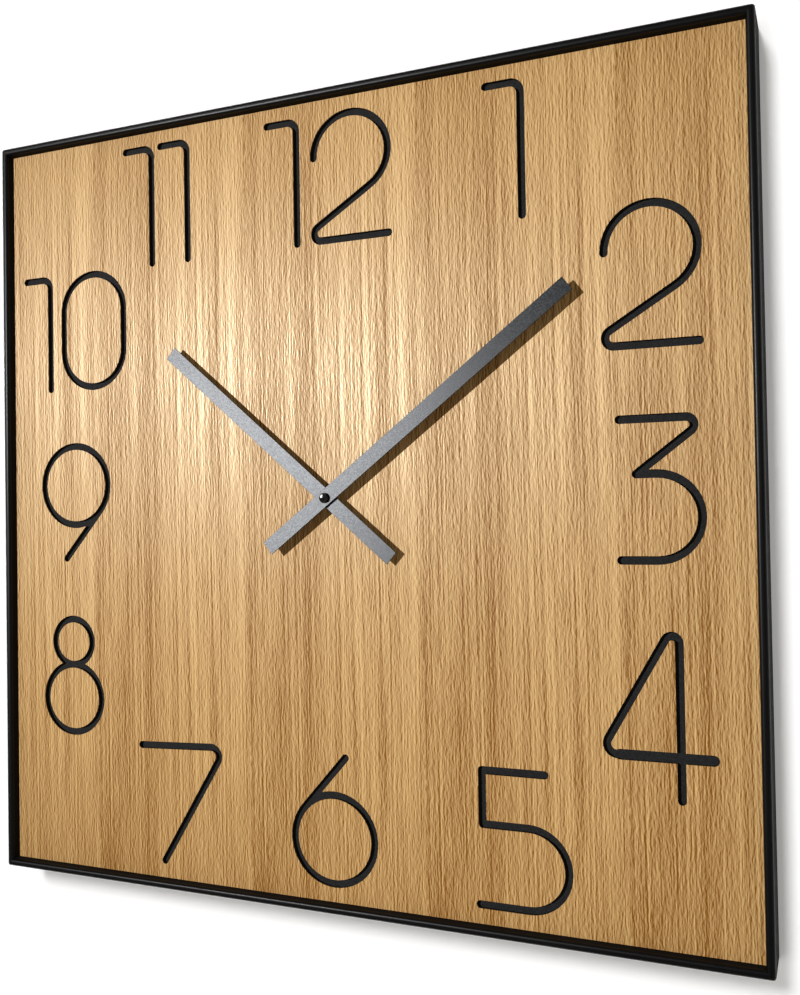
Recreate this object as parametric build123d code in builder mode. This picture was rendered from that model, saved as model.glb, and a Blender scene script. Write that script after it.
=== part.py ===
from build123d import *
import os
from math import asin, atan2, cos, degrees, hypot, pi, radians, sin, sqrt, tan

# Square wall clock: a black box frame, an oak-veneered dial with sunk numerals, two flat
# hands and a battery movement behind the dial.
# Millimetres. X is to the viewer's right, Z is up, the wall is the plane Y = 0 and the
# dial faces -Y. A level is a distance out from the wall, towards the viewer.

# Frame
FRAME_SIDE = 600.0
FRAME_DEPTH = 36.0
LIP_WIDTH = 5.8
LIP_ROUND = 2.4
CORNER_ROUND = 2.0

# Dial
DIAL_RECESS = 8.3
VENEER_THICKNESS = 0.6
BOARD_THICKNESS = 5.4
BOARD_CLEARANCE = 0.3
GROOVE_DEPTH = 3.0

# Numerals, drawn as the centre line of a round-ended stroke
STROKE_WIDTH = 5.6
DIGIT_HEIGHT = 91.8
FLAG_LENGTH = 24.7
FLAG_ROUND = 7.5
BOWL_RADIUS = 29.8
TWO_FOOT = 44.0
TWO_ROUND = 5.6
THREE_BAR = 23.4
THREE_CORNER = 33.6
THREE_ROUND = 5.0
THREE_APEX = 13.0
THREE_RADIUS = 28.0
FOUR_HEIGHT = 117.8
FOUR_WIDTH = 51.9
FOUR_FOOT = 27.0
FOUR_TOP_ROUND = 4.7
FOUR_LOW_ROUND = 6.6
FOUR_BAR_END = 19.9
FOUR_BAR_WIDTH = 7.0
FIVE_LEFT = 32.1
FIVE_TOP_BAR = 11.8
FIVE_LOW_BAR = 34.6
FIVE_RADIUS = 27.5
SIX_RADIUS = 32.1
SIX_STEM_X = 9.7
SIX_STEM_LEAD = 2.0
SEVEN_LEFT = 76.8
SEVEN_TILT = 3.0
SEVEN_FOOT = 56.1
SEVEN_ROUND = 7.1
EIGHT_TOP_RADIUS = 18.5

# Places of the numerals on the dial
ROW_OUTER = 235.5
ROW_UPPER = 141.0
ROW_NINE = 1.2
ROW_THREE = 1.0
ROW_LOWER = -140.2
ROW_FOOT = -234.8
TWELVE_ONE_X = -24.2
TWELVE_TWO_X = 19.8
ELEVEN_LEFT_X = -154.0
ELEVEN_RIGHT_X = -120.7
ONE_X = 148.0
TWO_X = 232.3
THREE_X = 233.8
FOUR_X = 245.8
FOUR_Z = -170.9
FIVE_X = 144.6
SIX_X = -0.7
SEVEN_X = -92.1
EIGHT_X = -235.5
NINE_X = -231.8
TEN_ONE_X = -256.2
TEN_ZERO_X = -212.4

# Hands, with their angles at rest clockwise from twelve
HAND_WIDTH = 11.0
HAND_THICKNESS = 1.0
HOUR_TIP = 176.0
HOUR_TAIL = 67.0
HOUR_ANGLE = -49.1
HOUR_LIFT = 6.0
MINUTE_TIP = 227.0
MINUTE_TAIL = 60.0
MINUTE_ANGLE = 52.5
HAND_GAP = 1.5
HAND_FIT = 0.02
BUSH_WALL = 1.8
BUSH_PLAY = 0.2
HOUR_BUSH_HEIGHT = 2.4
CAP_RADIUS = 3.75
CAP_RIM = 0.9
CAP_HEIGHT = 4.2
STUD_LENGTH = 2.4

# Shafts through the dial
SHAFT_RADIUS = 1.5
STUD_RADIUS = 1.1
HOUR_TUBE_RADIUS = 2.5
HOUR_HUB_RADIUS = 3.4
COLLAR_WALL = 1.45
COLLAR_SET_BACK = 0.4
RUNNING_FIT = 0.05
DIAL_HOLE_CLEARANCE = 0.3

# Board brackets: steel angles on the frame's inner faces, screwed to the back of the board
BRACKET_LENGTH = 20.0
BRACKET_LEG = 14.0
BRACKET_THICKNESS = 1.5
BRACKET_SPREAD = 210.0
BRACKET_HOLE_INSET = 8.5

# Wall hangers: steel angles with a keyhole, on the inside of the frame's top bar
HANGER_SPREAD = 150.0
HANGER_WIDTH = 40.0
HANGER_DROP = 32.0
HANGER_LEG = 14.0
HANGER_THICKNESS = 1.5
HANGER_WALL_GAP = 3.0
HANGER_SCREW_SPREAD = 12.0
KEYHOLE_RADIUS = 4.5
KEYHOLE_SLOT_WIDTH = 4.6
KEYHOLE_SLOT_RISE = 9.0
KEYHOLE_DROP = 20.0

# Screws: large ones in the frame and board, small ones in the movement
SCREW_RADIUS = 1.5
SCREW_HEAD_RADIUS = 3.0
SCREW_HEAD_HEIGHT = 1.8
SCREW_SLOT_WIDTH = 1.0
SCREW_BITE = 3.6
SMALL_SCREW_RADIUS = 0.9
SMALL_HEAD_RADIUS = 1.7
SMALL_HEAD_HEIGHT = 1.0
SMALL_SLOT_WIDTH = 0.6
SMALL_SCREW_BITE = 4.0
SCREW_PLAY = 0.05

# Movement case
CASE_WALL = 1.5
CASE_FRONT = 1.5
CASE_ROUND = 2.5
DIVIDER = 1.2
COVER_THICKNESS = 1.5
COVER_CLEARANCE = 0.2
HEAD_ROOM = 1.4
BRIDGE_THICKNESS = 1.0
BRIDGE_MARGIN = 2.4
BRIDGE_GAP = 0.6
POST_RADIUS = 2.0
POST_GAP = 1.2
LOW_RIGHT_POST_DIRECTION = -60.0
TOP_RIGHT_POST_DIRECTION = 45.0
LOW_LEFT_POST_DIRECTION = -130.0
TOP_LEFT_POST_DIRECTION = 105.0
BOSS_RADIUS = 1.8
INNER_GAP = 0.3
CHAMBER_MARGIN = 2.3
LUG_REACH = 9.0
LUG_WIDTH = 9.0
LUG_THICKNESS = 2.0
LUG_SPREAD = 36.0

# Battery, a standard AA cell
BATTERY_RADIUS = 7.1
BATTERY_LENGTH = 50.5
BATTERY_NUB_RADIUS = 2.75
BATTERY_NUB_LENGTH = 1.3
BATTERY_EDGE = 0.6
BATTERY_CLEARANCE = 0.3
BAY_END_ROOM = 1.25
CONTACT_THICKNESS = 0.4
CONTACT_WIDTH = 8.0
CONTACT_SPRING_BASE = 3.5
CONTACT_SPRING_TIP = 2.0
STRIP_WIDTH = 2.0
CONTACT_GAP = 0.3

# Wheels of the train
MODULE = 0.25
PRESSURE_ANGLE = radians(20)
ADDENDUM = 0.8
DEDENDUM = 1.25
BACKLASH = 0.05
PROFILE_SHIFT = 0.35
WHEEL_THICKNESS = 0.8
PINION_OVERLAP = 0.4
LAYER_START = 1.6
LAYER_PITCH = 1.8
ARBOR_RADIUS = 0.45
PIVOT_RADIUS = 0.35
PIVOT_DEPTH = 0.8
PIVOT_FLOOR = 0.2
ENDSHAKE = 0.2
MOTION_POST_RADIUS = 0.7
CENTRE_TEETH = 64
THIRD_TEETH = 60
THIRD_PINION = 8
SECONDS_TEETH = 60
SECONDS_PINION = 8
MIDDLE_TEETH = 60
MIDDLE_PINION = 10
ROTOR_PINION = 12
CANNON_TEETH = 15
MOTION_TEETH = 45
MOTION_PINION = 12
HOUR_TEETH = 48
SETTING_TEETH = 15

# Layers of the train, counted from the dial towards the wall
HOUR_LAYER = 0
MOTION_LAYER = 1
CENTRE_LAYER = 2
THIRD_LAYER = 3
SECONDS_LAYER = 4
MIDDLE_LAYER = 5

# Directions, in degrees from +X towards +Z, from each axis to the next
THIRD_DIRECTION = 60.0
SECONDS_DIRECTION = 20.0
MIDDLE_DIRECTION = 140.0
ROTOR_DIRECTION = 170.0
MOTION_DIRECTION = 180.0
SETTING_DIRECTION = 150.0

# Clutch and setting knob
CLUTCH_SEAT_RADIUS = 2.4
CLUTCH_SEAT_HEIGHT = 0.4
CLUTCH_SPRING_RADIUS = 2.6
REAR_ARBOR_RADIUS = 0.5
SETTING_ARBOR_RADIUS = 1.2
KNOB_RADIUS = 5.0
KNOB_THICKNESS = 2.2
KNOB_GAP = 0.3
KNOB_FLUTES = 16
KNOB_FLUTE_RADIUS = 0.5

# Motor and circuit
MAGNET_RADIUS = 3.2
MAGNET_HEIGHT = 2.4
MAGNET_HUB_RADIUS = 1.0
AIR_GAP = 0.4
STATOR_THICKNESS = 1.0
STATOR_HALF_HEIGHT = 6.3
STATOR_LEG = 2.4
STATOR_HEAD = 5.5
STATOR_POST_RADIUS = 1.0
COIL_REACH = 18.4
CORE_WIDTH = 3.0
CORE_THICKNESS = 1.2
BOBBIN_RADIUS = 3.6
BOBBIN_FLANGE = 0.6
BARREL_RADIUS = 2.2
WINDING_RADIUS = 3.2
CIRCUIT_WIDTH = 9.5
CIRCUIT_HEIGHT = 8.0
CIRCUIT_THICKNESS = 1.0
CIRCUIT_MARGIN = 0.6
CIRCUIT_POST_RADIUS = 1.2
CRYSTAL_RADIUS = 1.0
CRYSTAL_LENGTH = 6.0
CHIP_RADIUS = 1.6
CHIP_HEIGHT = 0.8

# Levels of the dial and hands
wood_face = FRAME_DEPTH - DIAL_RECESS
veneer_back = wood_face - VENEER_THICKNESS
board_back = veneer_back - BOARD_THICKNESS
case_floor = board_back - CASE_FRONT
collar_front = wood_face - COLLAR_SET_BACK
hour_back = wood_face + HOUR_LIFT
hour_front = hour_back + HAND_THICKNESS
minute_back = hour_front + HAND_GAP
minute_front = minute_back + HAND_THICKNESS

# Sizes that follow from the frame, the shafts and the numerals
inner_half = FRAME_SIDE / 2 - LIP_WIDTH
board_side = 2 * (inner_half - BOARD_CLEARANCE)
collar_radius = HOUR_TUBE_RADIUS + RUNNING_FIT + COLLAR_WALL
dial_hole_radius = collar_radius + DIAL_HOLE_CLEARANCE
half_height = DIGIT_HEIGHT / 2


def level(out):
    """Plane parallel to the wall, a distance out from it, seen upright by the viewer."""
    return Plane.XZ.offset(out)


def spot_plane(spot, out):
    """The same plane with its origin at a spot (x, z)."""
    return Plane(origin=(spot[0], -out, spot[1]), x_dir=(1, 0, 0), z_dir=(0, -1, 0))


def layer_back(number):
    """Back face of the wheel in a layer of the train, counted from the dial."""
    return case_floor - LAYER_START - number * LAYER_PITCH


def beside(spot, direction, distance):
    """Point at a distance from a spot, in a direction in degrees."""
    return (spot[0] + distance * cos(radians(direction)), spot[1] + distance * sin(radians(direction)))


def mesh_distance(first, second):
    """Distance between the axes of two meshing gears."""
    return MODULE * (first + second) / 2


def tip_radius(teeth, shift):
    """Radius over the tips of a gear's teeth."""
    return MODULE * (teeth / 2 + ADDENDUM + shift)


# Levels of the movement, counted back from the dial
bridge_front = layer_back(MIDDLE_LAYER) - BRIDGE_GAP
bridge_back = bridge_front - BRIDGE_THICKNESS
cover_front = bridge_back - HEAD_ROOM
case_back = cover_front - COVER_THICKNESS
knob_front = case_back - KNOB_GAP

# Axes of the train, as (x, z)
centre_spot = (0.0, 0.0)
third_spot = beside(centre_spot, THIRD_DIRECTION, mesh_distance(CENTRE_TEETH, THIRD_PINION))
seconds_spot = beside(third_spot, SECONDS_DIRECTION, mesh_distance(THIRD_TEETH, SECONDS_PINION))
middle_spot = beside(seconds_spot, MIDDLE_DIRECTION, mesh_distance(SECONDS_TEETH, MIDDLE_PINION))
rotor_spot = beside(middle_spot, ROTOR_DIRECTION, mesh_distance(MIDDLE_TEETH, ROTOR_PINION))
motion_spot = beside(centre_spot, MOTION_DIRECTION, mesh_distance(CANNON_TEETH, MOTION_TEETH))
setting_spot = beside(motion_spot, SETTING_DIRECTION, mesh_distance(MOTION_TEETH, SETTING_TEETH))
pivot_spots = [third_spot, seconds_spot, middle_spot, rotor_spot]

# Posts that carry the bridge, clear of the wheels beside them
wheel_post_reach = tip_radius(SECONDS_TEETH, -PROFILE_SHIFT) + POST_RADIUS + POST_GAP
motion_post_reach = tip_radius(MOTION_TEETH, -PROFILE_SHIFT) + POST_RADIUS + POST_GAP
bridge_posts = [
    beside(seconds_spot, LOW_RIGHT_POST_DIRECTION, wheel_post_reach),
    beside(seconds_spot, TOP_RIGHT_POST_DIRECTION, wheel_post_reach),
    beside(motion_spot, LOW_LEFT_POST_DIRECTION, motion_post_reach),
    beside(motion_spot, TOP_LEFT_POST_DIRECTION, motion_post_reach),
]
bridge_spots = bridge_posts + pivot_spots + [setting_spot]
bridge_left = min(spot[0] for spot in bridge_spots) - BRIDGE_MARGIN
bridge_right = max(spot[0] for spot in bridge_spots) + BRIDGE_MARGIN
bridge_foot = min(spot[1] for spot in bridge_spots) - BRIDGE_MARGIN
bridge_top = max(spot[1] for spot in bridge_spots) + BRIDGE_MARGIN

# Inside of the case: wheel chamber above, battery bay along its foot
coil_x = rotor_spot[0] - COIL_REACH
case_inner = max(
    BATTERY_LENGTH / 2 + BAY_END_ROOM,
    bridge_right + 2 * BOSS_RADIUS + INNER_GAP,
    BOBBIN_RADIUS + INNER_GAP - coil_x,
)
chamber_top = rotor_spot[1] + STATOR_HALF_HEIGHT + CHAMBER_MARGIN
chamber_foot = -tip_radius(CENTRE_TEETH, -PROFILE_SHIFT) - CHAMBER_MARGIN
bay_top = chamber_foot - DIVIDER
bay_height = 2 * (BATTERY_RADIUS + BATTERY_CLEARANCE)
bay_foot = bay_top - bay_height
battery_z = bay_foot + bay_height / 2
battery_level = case_floor - BATTERY_CLEARANCE - BATTERY_RADIUS
case_half = case_inner + CASE_WALL
case_top = chamber_top + CASE_WALL
case_foot = bay_foot - CASE_WALL
case_middle = (case_top + case_foot) / 2
chamber_middle = (chamber_top + chamber_foot) / 2
chamber_height = chamber_top - chamber_foot

# Bosses under the cover and lugs at the sides of the case
boss_x = case_inner - BOSS_RADIUS
cover_bosses = [
    (boss_x, chamber_top - BOSS_RADIUS),
    (boss_x, chamber_foot + CONTACT_THICKNESS + INNER_GAP + BOSS_RADIUS),
    (-boss_x, setting_spot[1] + BOSS_RADIUS),
]
lug_x = case_half + LUG_REACH / 2
lug_spots = [(side * lug_x, side_z) for side in (-1, 1) for side_z in (-LUG_SPREAD / 2, LUG_SPREAD / 2)]

# Circuit board in the lower left corner of the wheel chamber
circuit_x = -case_inner + CIRCUIT_MARGIN + CIRCUIT_WIDTH / 2
circuit_z = chamber_foot + CONTACT_THICKNESS + CIRCUIT_MARGIN + CIRCUIT_HEIGHT / 2
circuit_front = layer_back(SECONDS_LAYER)
circuit_back = circuit_front - CIRCUIT_THICKNESS
circuit_posts = [(circuit_x + side * CIRCUIT_WIDTH / 3, circuit_z) for side in (-1, 1)]
strip_level = circuit_back + STRIP_WIDTH / 2

# Motor: the stator plate lies in the centre wheel's layer, the coil behind its legs
stator_back = layer_back(CENTRE_LAYER) + WHEEL_THICKNESS / 2 - STATOR_THICKNESS / 2
stator_front = stator_back + STATOR_THICKNESS
magnet_back = stator_back + STATOR_THICKNESS / 2 - MAGNET_HEIGHT / 2
coil_level = stator_back - CORE_THICKNESS / 2
bobbin_half = STATOR_HALF_HEIGHT - STATOR_LEG - INNER_GAP
leg_z = STATOR_HALF_HEIGHT - STATOR_LEG / 2
stator_post_x = rotor_spot[0] - STATOR_HEAD - STATOR_LEG
stator_posts = [(stator_post_x, rotor_spot[1] + side * leg_z) for side in (-1, 1)]

# Seats on the frame's four inner faces, in degrees round the frame from its top bar
bar_turns = (0, 90, 180, 270)
bracket_middle = board_back - BRACKET_LEG / 2
hanger_middle = HANGER_WALL_GAP + HANGER_LEG / 2
keyhole_z = inner_half - KEYHOLE_DROP


def bar_plane(turn, along, out):
    """Plane on a bar's inner face, its normal out through the bar and local y away from the wall."""
    outward = Vector(sin(radians(turn)), 0, cos(radians(turn)))
    sideways = Vector(cos(radians(turn)), 0, -sin(radians(turn)))
    origin = outward * inner_half + sideways * along + Vector(0, -out, 0)
    return Plane(origin=origin, x_dir=sideways * -1, z_dir=outward)


def bracket_spot(turn, along):
    """Place of a bracket's board screw on the dial plan."""
    inset = inner_half - BRACKET_HOLE_INSET
    return (
        inset * sin(radians(turn)) + along * cos(radians(turn)),
        inset * cos(radians(turn)) - along * sin(radians(turn)),
    )


bracket_places = [(turn, along) for turn in bar_turns for along in (-BRACKET_SPREAD, BRACKET_SPREAD)]
bracket_planes = [bar_plane(turn, along, bracket_middle) for turn, along in bracket_places]
board_screw_spots = [bracket_spot(turn, along) for turn, along in bracket_places]


def hanger_planes(side):
    """Seats of the two screws of the hanger on one side."""
    shifts = (-HANGER_SCREW_SPREAD, HANGER_SCREW_SPREAD)
    return [bar_plane(0, side * HANGER_SPREAD + shift, hanger_middle) for shift in shifts]


# Numerals, each drawn about the middle of its height


def stroke(path, width=STROKE_WIDTH):
    """Round-ended band along a path."""
    return SlotArc(path, width, mode=Mode.PRIVATE)


def tangent_point(corner, centre, radius):
    """Point where the line from a corner touches a circle, with the circle on the line's left."""
    reach = hypot(centre[0] - corner[0], centre[1] - corner[1])
    towards = atan2(centre[1] - corner[1], centre[0] - corner[0]) - asin(radius / reach)
    length = sqrt(reach**2 - radius**2)
    return (corner[0] + length * cos(towards), corner[1] + length * sin(towards))


def one():
    """A stem with a short flag to the left."""
    with BuildLine() as path:
        FilletPolyline((-FLAG_LENGTH, half_height), (0, half_height), (0, -half_height), radius=FLAG_ROUND)
    with BuildSketch() as glyph:
        add(stroke(path.wire()))
    return glyph.sketch


def two():
    """A round top that runs tangent into a straight diagonal, then the foot bar."""
    bowl = (0, half_height - BOWL_RADIUS)
    corner = (-TWO_FOOT, -half_height)
    touch = tangent_point(corner, bowl, BOWL_RADIUS)
    turn = degrees(atan2(touch[1] - bowl[1], touch[0] - bowl[0]))
    with BuildLine() as path:
        CenterArc(bowl, BOWL_RADIUS, 180, turn - 180)
        FilletPolyline(touch, corner, (BOWL_RADIUS, -half_height), radius=TWO_ROUND)
    with BuildSketch() as glyph:
        add(stroke(path.wire()))
    return glyph.sketch


def three():
    """A flat top, a diagonal to a sharp point, and a half circle."""
    apex_z = -half_height + 2 * THREE_RADIUS
    with BuildLine() as path:
        FilletPolyline(
            (-THREE_BAR, half_height),
            (THREE_CORNER, half_height),
            (-THREE_APEX, apex_z),
            (0, apex_z),
            radius=[THREE_ROUND, 0],
        )
        CenterArc((0, apex_z - THREE_RADIUS), THREE_RADIUS, 90, -180)
        Line((0, -half_height), (-THREE_BAR, -half_height))
    with BuildSketch() as glyph:
        add(stroke(path.wire()))
    return glyph.sketch


def four():
    """A stem, a diagonal and a wider bar, drawn about the point where stem and bar cross."""
    bar_start = (-FOUR_WIDTH + 2 * FOUR_LOW_ROUND, 0)
    with BuildLine() as path:
        FilletPolyline(
            (0, -FOUR_FOOT),
            (0, FOUR_HEIGHT - FOUR_FOOT),
            (-FOUR_WIDTH, 0),
            bar_start,
            radius=[FOUR_TOP_ROUND, FOUR_LOW_ROUND],
        )
    with BuildLine() as bar:
        Line(bar_start, (FOUR_BAR_END, 0))
    with BuildSketch() as glyph:
        add(stroke(path.wire()))
        add(stroke(bar.wire(), FOUR_BAR_WIDTH))
    return glyph.sketch


def five():
    """A top bar, a short drop with square corners, and a half circle."""
    middle = -half_height + 2 * FIVE_RADIUS
    with BuildLine() as path:
        Polyline(
            (FIVE_TOP_BAR, half_height),
            (-FIVE_LEFT, half_height),
            (-FIVE_LEFT, middle),
            (0, middle),
        )
        CenterArc((0, middle - FIVE_RADIUS), FIVE_RADIUS, 90, -180)
        Line((0, -half_height), (-FIVE_LOW_BAR, -half_height))
    with BuildSketch() as glyph:
        add(stroke(path.wire()))
    return glyph.sketch


def six():
    """A round loop with a straight stem tangent to its left side."""
    loop = (0, -half_height + SIX_RADIUS)
    end = (SIX_STEM_X, half_height)
    touch = tangent_point(end, loop, SIX_RADIUS)
    lead = SIX_STEM_LEAD / hypot(end[0] - touch[0], end[1] - touch[1])
    start = (touch[0] + (end[0] - touch[0]) * lead, touch[1] + (end[1] - touch[1]) * lead)
    with BuildLine() as stem:
        Line(start, end)
    with BuildSketch() as glyph:
        with Locations(loop):
            Circle(SIX_RADIUS + STROKE_WIDTH / 2)
            Circle(SIX_RADIUS - STROKE_WIDTH / 2, mode=Mode.SUBTRACT)
        add(stroke(stem.wire()))
    return glyph.sketch


def seven():
    """A slightly tilted bar and a straight diagonal, drawn about the corner's upright."""
    with BuildLine() as path:
        FilletPolyline(
            (-SEVEN_LEFT, half_height - SEVEN_TILT),
            (0, half_height),
            (-SEVEN_FOOT, -half_height),
            radius=SEVEN_ROUND,
        )
    with BuildSketch() as glyph:
        add(stroke(path.wire()))
    return glyph.sketch


def eight():
    """A small ring on a larger one, their centre lines touching."""
    low_radius = half_height - EIGHT_TOP_RADIUS
    rings = [(half_height - EIGHT_TOP_RADIUS, EIGHT_TOP_RADIUS), (-half_height + low_radius, low_radius)]
    with BuildSketch() as glyph:
        for height, radius in rings:
            with Locations((0, height)):
                Circle(radius + STROKE_WIDTH / 2)
        for height, radius in rings:
            with Locations((0, height)):
                Circle(radius - STROKE_WIDTH / 2, mode=Mode.SUBTRACT)
    return glyph.sketch


def zero():
    """A ring with straight sides."""
    straight = DIGIT_HEIGHT - 2 * BOWL_RADIUS
    with BuildSketch() as glyph:
        SlotCenterToCenter(straight, 2 * BOWL_RADIUS + STROKE_WIDTH, rotation=90)
        SlotCenterToCenter(straight, 2 * BOWL_RADIUS - STROKE_WIDTH, rotation=90, mode=Mode.SUBTRACT)
    return glyph.sketch


def numeral_sketch():
    """All twelve numerals in their places; the nine is the six turned half round."""
    figure_one = one()
    figure_two = two()
    figure_six = six()
    places = [
        (figure_one, TWELVE_ONE_X, ROW_OUTER, 0),
        (figure_two, TWELVE_TWO_X, ROW_OUTER, 0),
        (figure_one, ONE_X, ROW_OUTER, 0),
        (figure_two, TWO_X, ROW_UPPER, 0),
        (three(), THREE_X, ROW_THREE, 0),
        (four(), FOUR_X, FOUR_Z, 0),
        (five(), FIVE_X, ROW_FOOT, 0),
        (figure_six, SIX_X, ROW_FOOT, 0),
        (seven(), SEVEN_X, ROW_FOOT, 0),
        (eight(), EIGHT_X, ROW_LOWER, 0),
        (figure_six, NINE_X, ROW_NINE, 180),
        (figure_one, TEN_ONE_X, ROW_UPPER, 0),
        (zero(), TEN_ZERO_X, ROW_UPPER, 0),
        (figure_one, ELEVEN_LEFT_X, ROW_OUTER, 0),
        (figure_one, ELEVEN_RIGHT_X, ROW_OUTER, 0),
    ]
    with BuildSketch() as sheet:
        for figure, x, z, turn in places:
            with Locations(Location((x, z, 0), (0, 0, turn))):
                add(figure)
    return sheet.sketch


# Gears


def involute(angle):
    """Involute function of a pressure angle."""
    return tan(angle) - angle


def polar(radius, angle):
    """Point at a radius and an angle in radians about the origin."""
    return (radius * cos(angle), radius * sin(angle))


def gear_face(teeth, shift, phase):
    """Outline of a spur gear about the origin, with a tooth centred at the phase angle."""
    pitch_radius = MODULE * teeth / 2
    base_radius = pitch_radius * cos(PRESSURE_ANGLE)
    tip = tip_radius(teeth, shift)
    root = MODULE * (teeth / 2 - DEDENDUM + shift)
    start = max(root, base_radius)
    middle = (start + tip) / 2
    thickness = MODULE * (pi / 2 + 2 * shift * tan(PRESSURE_ANGLE)) - BACKLASH

    def half_angle(radius):
        pressure = atan2(sqrt(radius**2 - base_radius**2), base_radius)
        return thickness / (2 * pitch_radius) + involute(PRESSURE_ANGLE) - involute(pressure)

    low, mid, high = half_angle(start), half_angle(middle), half_angle(tip)
    edges = []
    for tooth in range(teeth):
        axis = phase + 2 * pi * tooth / teeth
        after = axis + 2 * pi / teeth
        rise = [polar(start, axis - low), polar(middle, axis - mid), polar(tip, axis - high)]
        fall = [polar(tip, axis + high), polar(middle, axis + mid), polar(start, axis + low)]
        edges.append(ThreePointArc(*rise))
        edges.append(Line(rise[-1], fall[0]))
        edges.append(ThreePointArc(*fall))
        if root < start:
            edges.append(Line(polar(start, axis + low), polar(root, axis + low)))
            edges.append(Line(polar(root, axis + low), polar(root, after - low)))
            edges.append(Line(polar(root, after - low), polar(start, after - low)))
        else:
            edges.append(Line(polar(start, axis + low), polar(start, after - low)))
    with BuildSketch() as outline:
        make_face(edges)
    return outline.sketch


def wheel_face(teeth, phase=0.0):
    """A wheel's outline: its teeth are cut a little deep to suit the pinion."""
    return gear_face(teeth, -PROFILE_SHIFT, phase)


def pinion_face(teeth, phase=0.0):
    """A pinion's outline: its teeth stand a little proud to keep them strong."""
    return gear_face(teeth, PROFILE_SHIFT, phase)


def mesh_phase(driver_phase, driver_teeth, driver_spot, teeth, spot):
    """Phase that puts a gear in mesh with a driver of known phase."""
    line = atan2(spot[1] - driver_spot[1], spot[0] - driver_spot[0])
    return line + pi + (pi - (driver_phase - line) * driver_teeth) / teeth


def pinion_back(number):
    """Back end of a pinion that meshes in a layer."""
    return layer_back(number) - PINION_OVERLAP


pinion_length = WHEEL_THICKNESS + 2 * PINION_OVERLAP
arbor_back = bridge_front + ENDSHAKE
arbor_length = case_floor - bridge_front - 2 * ENDSHAKE
pivot_back = bridge_back + PIVOT_FLOOR
pivot_length = case_floor + PIVOT_DEPTH - pivot_back


def train_wheel(spot, wheel, wheel_layer, pinion, pinion_layer):
    """One moulding: an arbor with its two pivots, a wheel and a pinion."""
    with BuildPart() as moulding:
        with BuildSketch(spot_plane(spot, pivot_back)):
            Circle(PIVOT_RADIUS)
        extrude(amount=pivot_length)
        with BuildSketch(spot_plane(spot, arbor_back)):
            Circle(ARBOR_RADIUS)
        extrude(amount=arbor_length)
        with BuildSketch(spot_plane(spot, pinion_back(pinion_layer))):
            add(pinion)
        extrude(amount=pinion_length)
        with BuildSketch(spot_plane(spot, layer_back(wheel_layer))):
            add(wheel)
        extrude(amount=WHEEL_THICKNESS)
    return moulding.part


def screw(seat, bite, radius, head_radius, head_height, slot_width):
    """Slotted pan-head screw, its head under a seat plane and its shank along the normal."""
    with BuildPart() as fastener:
        with BuildSketch(seat.offset(-head_height)):
            Circle(head_radius)
        extrude(amount=head_height)
        rim = fastener.edges().filter_by(GeomType.CIRCLE).sort_by(Axis(seat.origin, seat.z_dir))[0]
        fillet(rim, head_height / 2)
        with BuildSketch(seat):
            Circle(radius)
        extrude(amount=bite)
        with BuildSketch(seat.offset(-head_height)):
            Rectangle(2 * head_radius, slot_width)
        extrude(amount=head_height / 2, mode=Mode.SUBTRACT)
    return fastener.part


def large_screw(seat, bite):
    """Screw of the frame and board."""
    return screw(seat, bite, SCREW_RADIUS, SCREW_HEAD_RADIUS, SCREW_HEAD_HEIGHT, SCREW_SLOT_WIDTH)


def small_screw(seat, bite):
    """Screw of the movement."""
    return screw(seat, bite, SMALL_SCREW_RADIUS, SMALL_HEAD_RADIUS, SMALL_HEAD_HEIGHT, SMALL_SLOT_WIDTH)


def save(part, name):
    """Name a piece and write it to its file."""
    part.label = name
    export_step(part, f"parts/{name}.step")


def save_group(pieces, name):
    """Write several separate pieces of one kind to one file."""
    with BuildPart() as group:
        for piece in pieces:
            add(piece)
    save(group.part, name)


os.makedirs("parts", exist_ok=True)

# Frame: a square ring of flat bar with a rounded front lip, one welded piece
with BuildPart() as frame:
    with BuildSketch(level(0)):
        Rectangle(FRAME_SIDE, FRAME_SIDE)
        Rectangle(2 * inner_half, 2 * inner_half, mode=Mode.SUBTRACT)
    extrude(amount=FRAME_DEPTH)
    corner_edges = frame.edges().filter_by(Axis.Y).sort_by_distance((0, 0, 0))[-4:]
    fillet(corner_edges, CORNER_ROUND)
    fillet(frame.faces().filter_by(Axis.Y).sort_by(Axis.Y)[0].edges(), LIP_ROUND)
    for seat in bracket_planes + hanger_planes(-1) + hanger_planes(1):
        with BuildSketch(seat):
            Circle(SCREW_RADIUS + SCREW_PLAY)
        extrude(amount=SCREW_BITE + SCREW_PLAY, mode=Mode.SUBTRACT)
save(frame.part, "frame")

# Dial board: black all through, with the numerals cut part of the way in
numerals = numeral_sketch()
with BuildPart() as dial_board:
    with BuildSketch(level(board_back)):
        Rectangle(board_side, board_side)
        Circle(dial_hole_radius, mode=Mode.SUBTRACT)
    extrude(amount=BOARD_THICKNESS)
    with BuildSketch(level(wood_face - GROOVE_DEPTH)):
        add(numerals)
    extrude(amount=GROOVE_DEPTH, mode=Mode.SUBTRACT)
    with BuildSketch(level(board_back)):
        with Locations(*board_screw_spots, *lug_spots):
            Circle(SCREW_RADIUS + SCREW_PLAY)
    extrude(amount=SCREW_BITE + SCREW_PLAY, mode=Mode.SUBTRACT)
save(dial_board.part, "dial_board")

# Oak face, cut right through at the numerals; the middles of closed numerals are loose islands
with BuildPart() as oak_veneer:
    with BuildSketch(level(veneer_back)):
        Rectangle(board_side, board_side)
        Circle(dial_hole_radius, mode=Mode.SUBTRACT)
        add(numerals, mode=Mode.SUBTRACT)
    extrude(amount=VENEER_THICKNESS)
save(oak_veneer.part, "oak_veneer")


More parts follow.
